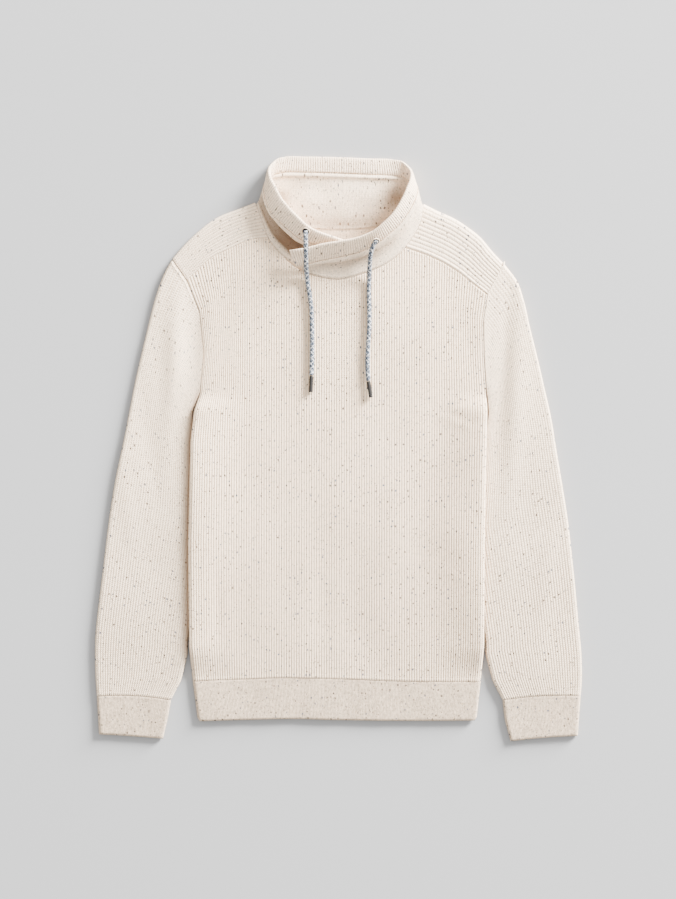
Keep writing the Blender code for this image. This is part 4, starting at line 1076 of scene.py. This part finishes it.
def make_collar(material):
    places = np.linspace(COLLAR[0][0] + STAND_START, COLLAR[-1][0], STAND_ACROSS)
    shares = np.unique(np.round(np.concatenate([
        np.linspace(0, 1, 30), (0.01, 0.02, 0.03, 0.05, 0.07, 0.80, 0.84, 0.88, 0.92, 0.945, 0.97, 0.985)
    ]), 4))
    outer = stand_surface(places, shares)
    inward = inward_normals(outer)
    rows = collar_table(places)
    foot, top = rows[:, 1:4], rows[:, 4:7]
    outer[-1] = mix(foot, top, -SEAM_GAP / np.linalg.norm(top - foot, axis=1)[:, None])
    outer[-1, :, 2] = np.maximum(outer[-1, :, 2], 0.0)
    inward[-1] = inward_normals(np.array([foot, top]))[0]
    height = np.linalg.norm(outer[-1] - outer[0], axis=1)
    thick = WALL * np.clip(height / FULL_WALL_AT, LEAST_WALL, 1.0)
    inner = outer + inward * thick[None, :, None]
    off_back = 1 - ease((places - 185.0) / 25.0) * ease((415.0 - places) / 25.0)
    creases = 0.5 * drift(places[None, :], 40.0 * shares[:, None], 17.0)
    creases = creases + 0.3 * drift(places, 0.0, 8.0)[None, :]
    creases = creases * np.sin(math.pi * shares)[:, None]
    seam_ridge = welt(shares * 26.0, 0.7, 0.4)[:, None]
    outer = outer - inward * ((creases + seam_ridge) * off_back[None, :])[..., None]
    at_back = ease((places - 190.0) / 20.0) * ease((410.0 - places) / 20.0)
    roll = 2.6 * np.exp(-(((shares - 0.95) / 0.045) ** 2))[:, None] * at_back[None, :]
    soft = drift(inner[..., 0], inner[..., 1], 22.0, 1.5) + 0.6 * drift(inner[..., 0], inner[..., 1], 11.0)
    soft = 0.9 * soft * np.sin(math.pi * shares)[:, None] * at_back[None, :]
    neck_line = 0.8 * np.exp(-(((shares - 0.04) / 0.025) ** 2))[:, None] * at_back[None, :]
    inner = inner + inward * (roll + soft + neck_line)[..., None]
    inner_at_points = inner
    columns = np.linspace(0, 1, len(places))
    piece = Piece()
    wales = places / WALE
    along = 50.0 * shares[:, None]
    outer, outer_places = piece.grid(outer, wales[None, :], along)
    inner, inner_places = piece.grid(inner, wales[None, :], along)
    piece.skin(outer, outer_places)
    piece.skin(inner, inner_places, reverse=True)
    piece.zip_edges(inner[0], outer[0], columns, columns)
    piece.zip_edges(outer[-1], inner[-1], columns, columns)
    piece.zip_edges(outer[:, 0], inner[:, 0], shares, shares)
    piece.zip_edges(inner[:, -1], outer[:, -1], shares, shares)
    # Painted shade: the hollow under the collar's left side and the stand under the strip that crosses over
    hollow = ease((shares - 0.22) / 0.16) * ease((0.90 - shares) / 0.12)
    at_hollow = (0.55 + 0.45 * ease((places - 450.0) / 45.0)) * ease((places - 415.0) / 25.0)
    at_hollow = at_hollow * ease((590.0 - places) / 30.0)
    under_strip = ease((shares - 0.30) / 0.35) * ease((1.0 - shares) / 0.06)
    at_strip = ease((places + 45.0) / 30.0) * ease((135.0 - places) / 60.0)
    shades_out = HOLLOW_SHADE * hollow[:, None] * at_hollow + STRIP_SHADE * under_strip[:, None] * at_strip
    # Painted shade on the collar's inner face, in the patches of COLLAR_SHADES
    shades_in = np.zeros(inner_at_points.shape[:2])
    for x, y, wide, high, amount in COLLAR_SHADES:
        away = ((inner_at_points[..., 0] - x) / wide) ** 2 + ((inner_at_points[..., 1] - y) / high) ** 2
        shades_in += amount * np.exp(-away)
    shades = np.concatenate([shades_out.ravel(), shades_in.ravel()])
    return piece.build("collar_knit", material, shades=shades)


def band_places():
    """Places along the neckline of the collar band's rib samples, and the number of its ribs."""
    fine = np.linspace(COLLAR[0][0], COLLAR[-1][0], COLLAR_FINE)
    rows = collar_table(fine)
    along = lengths_along((rows[:, 1:4] + rows[:, 4:7]) / 2)
    ribs = round(along[-1] / BAND_RIB_PITCH)
    return np.interp(np.linspace(0, along[-1], BAND_STEPS * ribs + 1), along, fine), ribs


def make_collar_band(material):
    """The ribbed tunnel along the collar's top, with a soft rounded section."""
    places, ribs = band_places()
    rows = collar_table(places)
    foot, top = rows[:, 1:4], rows[:, 4:7]
    inward = inward_normals(np.array([foot, top]))
    height = np.linalg.norm(top - foot, axis=1)
    up = (top - foot) / height[:, None]
    normal = inward.mean(axis=0)
    phase = np.linspace(0, ribs, len(places))
    wave = rib(phase) * BAND_RIB_RISE * 1.3
    turn = np.linspace(0, 2 * math.pi, 22, endpoint=False)
    grid = []
    for angle in turn:
        rise = math.copysign(abs(math.sin(angle)) ** 0.55, math.sin(angle))
        depth = math.copysign(abs(math.cos(angle)) ** 0.55, math.cos(angle))
        half = BAND_THICKNESS / 2
        soft = 0.5 * drift(places, 30.0 * angle, 23.0)
        out = depth * (half - 0.25) + (wave - 0.3) * depth + soft * max(0.0, depth)
        points = foot + up * (height * (0.5 + 0.5 * rise))[:, None] + normal * (half + out)[:, None]
        points[:, 2] = np.maximum(points[:, 2], 0.0)
        grid.append(points)
    section = lengths_along([(math.sin(a) * 11, math.cos(a) * 2.5) for a in np.append(turn, 2 * math.pi)])
    piece = Piece()
    numbers, uv = piece.grid(np.array(grid).transpose(1, 0, 2), phase[:, None], section[None, :-1])
    uv = np.concatenate([uv, uv[:, :1]], axis=1)
    uv[:, -1, 1] = section[-1]
    piece.skin(closed(numbers), uv)
    piece.face(numbers[0][::-1])
    piece.face(numbers[-1])
    return piece.build("collar_band_knit", material, sharp=60)


def frames_along(points):
    """Two directions across a route at each of its points, turned as little as possible."""
    tangents = np.gradient(points, axis=0)
    tangents /= np.linalg.norm(tangents, axis=1)[:, None]
    side = np.cross(tangents[0], (0.0, 0.0, 1.0))
    sides = []
    for tangent in tangents:
        side = side - tangent * np.dot(side, tangent)
        side = side / np.linalg.norm(side)
        sides.append(side)
    sides = np.array(sides)
    return sides, np.cross(tangents, sides)


def make_cord(name, points, material):
    """A braided drawstring end: its strands stand out along two crossing spirals."""
    path = route(points, CORD_ALONG)
    first, second = frames_along(path)
    along = lengths_along(path)[:, None]
    turn = np.linspace(0, 1, 32, endpoint=False)[None, :]
    one = np.abs(np.sin(math.pi * (CORD_STRANDS * turn + along / CORD_LAY)))
    two = np.abs(np.sin(math.pi * (CORD_STRANDS * turn - along / CORD_LAY)))
    radius = CORD_RADIUS * (0.90 + 0.10 * np.maximum(one, two))
    ease_end = np.sqrt(np.clip(1 - (1 - np.minimum(along[-1] - along, 1.5) / 1.5) ** 2, 0.0, 1.0))
    radius = radius * mix(0.7, 1.0, ease_end)
    angle = 2 * math.pi * turn[..., None]
    around = np.cos(angle) * first[:, None] + np.sin(angle) * second[:, None]
    grid = path[:, None] + radius[..., None] * around
    piece = Piece()
    numbers, uv = piece.grid(grid, turn, along)
    uv = np.concatenate([uv, uv[:, :1]], axis=1)
    uv[:, -1, 0] = 1.0
    piece.skin(closed(numbers), uv)
    piece.face(numbers[0][::-1])
    piece.face(numbers[-1])
    cord = piece.build(name, material, sharp=70)
    return cord


class Wire:
    """A shader value that takes part in plain sums."""

    def __init__(self, shading, socket):
        self.shading = shading
        self.socket = socket

    def maths(self, operation, *others, clamp=False):
        settings = {"operation": operation, "use_clamp": clamp}
        return self.shading.node("ShaderNodeMath", settings, dict(enumerate((self, *others))))

    def __add__(self, other):
        return self.maths("ADD", other)

    def __sub__(self, other):
        return self.maths("SUBTRACT", other)

    def __mul__(self, other):
        return self.maths("MULTIPLY", other)

    def __truediv__(self, other):
        return self.maths("DIVIDE", other)

    def __pow__(self, other):
        return self.maths("POWER", other)

    def __rsub__(self, other):
        return self.shading.value(other).maths("SUBTRACT", self)

    def __rtruediv__(self, other):
        return self.shading.value(other).maths("DIVIDE", self)

    __radd__ = __add__
    __rmul__ = __mul__

    def sine(self):
        return self.maths("SINE")

    def size(self):
        return self.maths("ABSOLUTE")

    def within(self):
        """Held between 0 and 1."""
        return self.maths("ADD", 0.0, clamp=True)

    def over(self, edge):
        return self.maths("GREATER_THAN", edge)


class Shading:
    """The nodes of one material."""

    def __init__(self, name):
        self.material = bpy.data.materials.new(name)
        self.material.use_nodes = True
        self.tree = self.material.node_tree
        self.shader = self.tree.nodes["Principled BSDF"]

    def node(self, kind, settings=None, inputs=None, output=0):
        made = self.tree.nodes.new(kind)
        for name, setting in (settings or {}).items():
            setattr(made, name, setting)
        for name, given in (inputs or {}).items():
            if isinstance(given, Wire):
                self.tree.links.new(given.socket, made.inputs[name])
            else:
                made.inputs[name].default_value = given
        return Wire(self, made.outputs[output])

    def value(self, number):
        made = self.node("ShaderNodeValue")
        made.socket.default_value = number
        return made

    def place(self):
        """Place in the object, in millimetres."""
        where = self.node("ShaderNodeTexCoord", output="Object")
        return self.node("ShaderNodeVectorMath", {"operation": "SCALE"}, {0: where, "Scale": 1 / METRES})

    def parts(self, vector):
        """The three numbers of a vector."""
        split = self.node("ShaderNodeSeparateXYZ", inputs={0: vector})
        return [Wire(self, socket) for socket in split.socket.node.outputs]

    def knit(self):
        """Rib number and distance along the rib in millimetres."""
        return self.parts(self.node("ShaderNodeTexCoord", output="UV"))[:2]

    def stretched(self, vector, factors):
        return self.node("ShaderNodeVectorMath", {"operation": "MULTIPLY"}, {0: vector, 1: factors})

    def noise(self, vector, size, detail=2.0, output=0):
        inputs = {"Vector": vector, "Scale": 1 / size, "Detail": detail}
        return self.node("ShaderNodeTexNoise", inputs=inputs, output=output)

    def colours(self, factor, first, second, blend="MIX"):
        """Two colours mixed by a factor from 0 to 1."""
        settings = {"data_type": "RGBA", "blend_type": blend, "clamp_factor": True}
        return self.node("ShaderNodeMix", settings, {0: factor, 6: first, 7: second}, output=2)

    def shaded(self, colour, factor):
        """A colour made lighter or darker by a factor."""
        grey = self.node("ShaderNodeCombineXYZ", inputs={0: factor, 1: factor, 2: factor})
        return self.node("ShaderNodeVectorMath", {"operation": "MULTIPLY"}, {0: colour, 1: grey})

    def finish(self, colour, roughness, height=None, depth=0.3, sheen=0.0):
        """Joins a colour and a height in millimetres to the shader and gives the material."""
        if isinstance(colour, Wire):
            self.tree.links.new(colour.socket, self.shader.inputs["Base Color"])
        else:
            self.shader.inputs["Base Color"].default_value = (*colour, 1.0)
        self.shader.inputs["Roughness"].default_value = roughness
        self.shader.inputs["Sheen Weight"].default_value = sheen
        self.shader.inputs["Sheen Roughness"].default_value = 0.6
        self.shader.inputs["Specular IOR Level"].default_value = 0.25
        if height is not None:
            relief = {"Height": height, "Strength": 1.0, "Distance": depth * METRES}
            bump = self.node("ShaderNodeBump", inputs=relief)
            self.tree.links.new(bump.socket, self.shader.inputs["Normal"])
        return self.material


def flecks(shading, place, cell, chance, radius):
    """Small uneven dots of coloured yarn in loose groups: how much of one shows, and its own chance value."""
    shaken = shading.noise(place, 1.6, 1.0, output="Color")
    inputs = {0: shaken, 1: (1.8, 1.8, 1.8), 2: place}
    moved = shading.node("ShaderNodeVectorMath", {"operation": "MULTIPLY_ADD"}, inputs)
    moved = shading.stretched(moved, (1.0, 0.8, 1.0))
    settings = {"voronoi_dimensions": "2D", "feature": "F1"}
    cells = shading.node("ShaderNodeTexVoronoi", settings, {"Vector": moved, "Scale": 1 / cell})
    distance = cells * cell
    chances = Wire(shading, cells.socket.node.outputs["Color"])
    tints = shading.node("ShaderNodeSeparateColor", inputs={0: chances})
    size = Wire(shading, tints.socket.node.outputs[1])
    tint = Wire(shading, tints.socket.node.outputs[2])
    groups = shading.noise(place, 3.2 * cell, 1.0)
    shows = 1.0 - (tints + (0.5 - groups) * 1.6).over(chance)
    return ((size * (0.8 * radius) + 0.55 * radius - distance) * 3.5).within() * shows, tint


def knit_material(
    name, cream, pitch, trough_shade, trough_power, stitch_pitch,
    trough_shade_tone=TROUGH_SHADE_TONE, heather=1.0, flat_wales=False, shaded_folds=False,
):
    """Flecked cream knit whose stitches follow the piece's own ribs, with painted shade between the ribs, a
    painted light falloff towards the hem and, with shaded_folds, painted shade from the Shade attribute.
    """
    shading = Shading(name)
    place = shading.place()
    ribs, along = shading.knit()
    crest = (ribs * math.pi).sine().size()
    mottle = shading.noise(shading.stretched(place, (1.0, 0.55, 1.0)), 2.6, 3.0)
    grain = shading.noise(place, 1.3, 1.0)
    patches = shading.noise(place, PATCH_SIZE, 2.0)
    uneven = (mottle - 0.5) * (0.50 * heather) + (grain - 0.5) * (0.22 * heather)
    uneven = KNIT_LIGHT + uneven + (patches - 0.5) * PATCH_AMOUNT
    # Painted light falloff: paler towards the collar, darker towards the hem
    light = uneven + PAINTED_LIGHT_SLOPE * shading.parts(place)[1]
    # Painted shade between the ribs: the cream darkens towards the trough tone where the ribs dip
    deep = (1.0 - crest ** trough_power) * trough_shade
    trough = tuple(part * share for part, share in zip(cream, trough_shade_tone))
    colour = shading.shaded(shading.colours(deep, (*cream, 1.0), (*trough, 1.0)), light)
    cloth = shading.node("ShaderNodeCombineXYZ", inputs={0: ribs * pitch, 1: along})
    strong, tint = flecks(shading, cloth, *STRONG_FLECKS)
    small, small_tint = flecks(shading, cloth, *SMALL_FLECKS)
    dark = shading.colours(tint.over(0.55), (*FLECK_BROWN, 1.0), (*FLECK_BLUE, 1.0))
    soft = shading.colours(small_tint.over(0.6), (*FLECK_BROWN, 1.0), (*FLECK_TAN, 1.0))
    colour = shading.colours(small * SMALL_AMOUNT, colour, soft)
    colour = shading.colours(strong * STRONG_AMOUNT, colour, dark)
    # Painted shade: the Shade attribute darkens the colour towards SHADE_BROWN
    if shaded_folds:
        depth = shading.node("ShaderNodeAttribute", {"attribute_name": "Shade"}, output="Fac")
        colour = shading.colours(depth, colour, (*SHADE_BROWN, 1.0))
    slant = (ribs * (2.0 if flat_wales else 1.0)).maths("PINGPONG", 0.5)
    loops = ((along / stitch_pitch + slant * 1.4) * (2 * math.pi)).sine()
    fibres = shading.noise(shading.stretched(place, (1.0, 0.5, 1.0)), 0.8, 2.0)
    height = loops * 0.30 + fibres * 0.9
    if flat_wales:
        height = height + crest * 0.7
    return shading.finish(colour, KNIT_ROUGHNESS, height, depth=KNIT_DEPTH, sheen=0.08)


def cord_material():
    """Braid of blue-grey and white strands: the pale ones run one way, the dark ones the other."""
    shading = Shading("braided_string")
    turn, along = shading.knit()
    one = ((turn * CORD_STRANDS + along / CORD_LAY) * math.pi).sine().size()
    two = ((turn * CORD_STRANDS - along / CORD_LAY) * math.pi).sine().size()
    over = (one - two) * 4.0 + 0.5
    pattern = ((turn * 2.0 + along / 8.3) * (2 * math.pi)).sine()
    crossing = ((turn * 2.0 - along / 7.1) * (2 * math.pi)).sine()
    fuzz = shading.noise(shading.place(), 1.4, 2.0)
    drifting = shading.noise(shading.place(), 11.0, 1.0)
    pale = (pattern.maths("MAXIMUM", crossing) * 3.0 + fuzz * 8.0 + drifting * 2.0 - 7.3).within()
    blue = shading.colours((over * 0.5 + fuzz * 2.0 - 0.9).within(), (*CORD_DARK, 1.0), (*CORD_BLUE, 1.0))
    colour = shading.colours(pale * 0.82, blue, (*CORD_WHITE, 1.0))
    # Painted shade: the colour is darker where the strands dip between their crossings
    shade = 0.60 + 0.35 * one.maths("MAXIMUM", two) + 0.20 * fuzz
    height = one.maths("MAXIMUM", two) + fuzz * 0.5
    return shading.finish(shading.shaded(colour, shade), 0.75, height, 0.35, 0.1)


def tip_material():
    shading = Shading("dipped_tip")
    grain = shading.noise(shading.place(), 2.5, 2.0)
    colour = shading.colours(grain, (*TIP_DARK, 1.0), (*TIP_BROWN, 1.0))
    return shading.finish(colour, 0.85, grain, 0.2)


# A dark material of painted shade for the eyelets' hollows
def shadow_material():
    return Shading("eyelet_hole").finish(EYELET_SHADE, 0.95)


def floor_material():
    return Shading("floor").finish(FLOOR_GREY, 0.95)


def deselect():
    if bpy.context.object and bpy.context.object.mode != "OBJECT":
        bpy.ops.object.mode_set(mode="OBJECT")
    bpy.ops.object.select_all(action="DESELECT")


def settle(piece):
    """Puts the place, turn and size of a piece into its mesh."""
    deselect()
    piece.select_set(True)
    bpy.context.view_layer.objects.active = piece
    bpy.ops.object.transform_apply(location=True, rotation=True, scale=True)


def dress(piece, slot, *nodes):
    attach(piece, "root")
    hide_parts(*nodes)
    return piece


def make_tip(name, points, heading, material):
    """The dipped end of a drawstring: a bar with its far end bevelled round."""
    end = np.array(points[-1], float)
    direction = np.array([*heading, 0.0]) / np.linalg.norm(heading)
    centre = (end + direction * (GAP + TIP_LENGTH) / 2) * METRES
    deselect()
    bpy.ops.mesh.primitive_cylinder_add(
        vertices=36, radius=TIP_RADIUS * METRES, depth=(TIP_LENGTH - GAP) * METRES, location=centre
    )
    tip = bpy.context.object
    tip.name = name
    bpy.ops.object.mode_set(mode="EDIT")
    bpy.ops.mesh.select_all(action="DESELECT")
    work = bmesh.from_edit_mesh(tip.data)
    for edge in work.edges:
        heights = [vert.co.z for vert in edge.verts]
        edge.select = heights[0] < 0 and heights[1] < 0
    bmesh.update_edit_mesh(tip.data)
    bpy.ops.mesh.bevel(offset=2.0 * METRES, segments=6)
    bpy.ops.object.mode_set(mode="OBJECT")
    tip.rotation_euler = (math.pi / 2, 0.0, math.atan2(direction[1], direction[0]) + math.pi / 2)
    settle(tip)
    bpy.ops.object.shade_smooth_by_angle(angle=math.radians(40))
    tip.data.materials.append(material)
    return dress(tip, "string_tip", name.replace("_dipped", ""))


def make_eyelet(name, place, rim_material, hole_material):
    """A small knitted hole in the band: a rim of stitches round a dark disc of painted shade for its hollow.
    """
    rows = collar_table(np.linspace(COLLAR[0][0], COLLAR[-1][0], COLLAR_FINE))
    foot, top = rows[:, 1:4], rows[:, 4:7]
    middle = (foot + top) / 2
    near = np.argmin(np.linalg.norm(middle - np.array(place), axis=1))
    outward = -inward_normals(np.array([foot, top])).mean(axis=0)[near]
    turn = turn_towards(outward)
    centre = np.array(place, float)
    deselect()
    bpy.ops.mesh.primitive_torus_add(
        major_segments=28, minor_segments=10,
        major_radius=EYELET_RADIUS * METRES, minor_radius=EYELET_RIM * METRES,
    )
    rim = bpy.context.object
    rim.name = name
    work = bmesh.new()
    work.from_mesh(rim.data)
    for vert in work.verts:
        angle = math.atan2(vert.co.y, vert.co.x)
        vert.co.z *= 1.0 + 0.25 * math.cos(9 * angle)
    work.to_mesh(rim.data)
    work.free()
    rim.rotation_mode = "QUATERNION"
    rim.rotation_quaternion = turn
    rim.location = centre * METRES
    settle(rim)
    bpy.ops.object.shade_smooth()
    rim.data.materials.append(rim_material)
    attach(rim, "root")
    deselect()
    # A dark disc of painted shade in the hole
    bpy.ops.mesh.primitive_cylinder_add(vertices=28, radius=EYELET_RADIUS * METRES, depth=0.5 * METRES)
    hole = bpy.context.object
    hole.name = name + "_hollow"
    hole.rotation_mode = "QUATERNION"
    hole.rotation_quaternion = turn
    hole.location = centre * METRES
    settle(hole)
    hole.data.materials.append(hole_material)
    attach(hole, "root")


def turn_towards(direction):
    """Turn that takes the z axis to a direction."""
    return Vector(tuple(direction)).to_track_quat("Z", "Y")


def make_camera():
    camera = bpy.data.cameras.new("camera")
    camera.lens = CAMERA_LENS
    camera.sensor_width = SENSOR
    height = PHOTO_HEIGHT * MM_PER_PIXEL * CAMERA_LENS / SENSOR
    thing = bpy.data.objects.new("camera", camera)
    x = (PHOTO_WIDTH / 2 - PHOTO_CENTRE[0]) * MM_PER_PIXEL
    y = (PHOTO_CENTRE[1] - PHOTO_HEIGHT / 2) * MM_PER_PIXEL
    thing.location = (x * METRES, y * METRES, height * METRES)
    camera.clip_end = 50.0
    bpy.context.scene.collection.objects.link(thing)
    bpy.context.scene.camera = thing


def make_light(name, direction, elevation, distance, size, power):
    """A square soft light in this compass direction, at this height over the surface."""
    lamp = bpy.data.lights.new(name, "AREA")
    lamp.shape = "SQUARE"
    lamp.size = size
    lamp.energy = power
    thing = bpy.data.objects.new(name, lamp)
    flat = math.radians(direction)
    up = math.radians(elevation)
    place = Vector((math.cos(flat) * math.cos(up), math.sin(flat) * math.cos(up), math.sin(up))) * distance
    thing.location = place
    thing.rotation_euler = (-place).to_track_quat("-Z", "Y").to_euler()
    bpy.context.scene.collection.objects.link(thing)


def make_room():
    deselect()
    bpy.ops.mesh.primitive_plane_add(size=FLOOR_SIZE, location=(0.0, 0.0, -FLOOR_DROP))
    floor = bpy.context.object
    floor.name = "floor"
    settle(floor)
    floor.data.materials.append(floor_material())
    make_light("key", KEY_DIRECTION, KEY_ELEVATION, KEY_DISTANCE, KEY_SIZE, KEY_POWER)
    world = bpy.data.worlds.new("room")
    world.use_nodes = True
    world.node_tree.nodes["Background"].inputs["Color"].default_value = (*ROOM_LIGHT, 1.0)
    world.node_tree.nodes["Background"].inputs["Strength"].default_value = ROOM_STRENGTH
    bpy.context.scene.world = world


def main():
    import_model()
    make_camera()
    string = cord_material()
    dipped = tip_material()
    for side, points in (("left", CORD_LEFT), ("right", CORD_RIGHT)):
        tip = make_tip("tip_" + side + "_dipped", points, TIP_HEADING[side], dipped)
        dress(make_cord("string_" + side, points, string), "string", "cord_" + side)

    ribbed = knit_material(
        "ribbed_knit", CREAM, RIB_PITCH, trough_shade=1.0, trough_power=0.6, stitch_pitch=2.6
    )
    # The left yoke, whose ribs the light crosses, gets stronger and darker painted shade between its ribs
    # than the right one
    shoulders = {
        "left": knit_material(
            "shoulder_knit_left", CREAM, YOKE_PITCH, trough_shade=0.7, trough_power=0.6, stitch_pitch=2.6,
            trough_shade_tone=BAND_TROUGH_SHADE,
        ),
        "right": knit_material(
            "shoulder_knit_right", CREAM, YOKE_PITCH, trough_shade=0.4, trough_power=0.6, stitch_pitch=2.6
        ),
    }
    sleeve = knit_material(
        "sleeve_knit", CREAM, RIB_PITCH, trough_shade=0.7, trough_power=0.6, stitch_pitch=2.4,
        shaded_folds=True,
    )
    # The plain knit takes the darker cream as painted shade towards the hem
    plain = knit_material(
        "plain_knit", CREAM_LOWER_SHADED, WALE, trough_shade=0.6, trough_power=0.8, stitch_pitch=1.9,
        heather=2.0, flat_wales=True,
    )
    stand = knit_material(
        "stand_knit", CREAM, WALE, trough_shade=0.4, trough_power=0.8, stitch_pitch=1.9,
        heather=1.7, flat_wales=True, shaded_folds=True,
    )
    band = knit_material(
        "band_knit", CREAM, BAND_RIB_PITCH, trough_shade=1.0, trough_power=0.5, stitch_pitch=2.4,
        trough_shade_tone=BAND_TROUGH_SHADE,
    )
    hollow = shadow_material()

    back = dress(make_back(plain), "plain_knit", "back")
    front = dress(make_front(ribbed), "ribbed_knit", "front")
    for side in ("left", "right"):
        yoke = dress(make_yoke(side, shoulders[side]), "ribbed_knit", "yoke_" + side)
        arm = dress(make_sleeve(side, sleeve), "ribbed_knit", "sleeve_" + side)
        cuff = dress(make_cuff(side, plain), "plain_knit", "cuff_" + side)
    hem = dress(make_hem_band(plain), "plain_knit", "hem_band")
    collar = dress(make_collar(stand), "collar_knit", "collar")
    top = dress(make_collar_band(band), "collar_knit", "collar_band")
    make_eyelet("eyelet_left", EYELETS["left"], stand, hollow)
    make_eyelet("eyelet_right", EYELETS["right"], stand, hollow)
    make_room()


main()
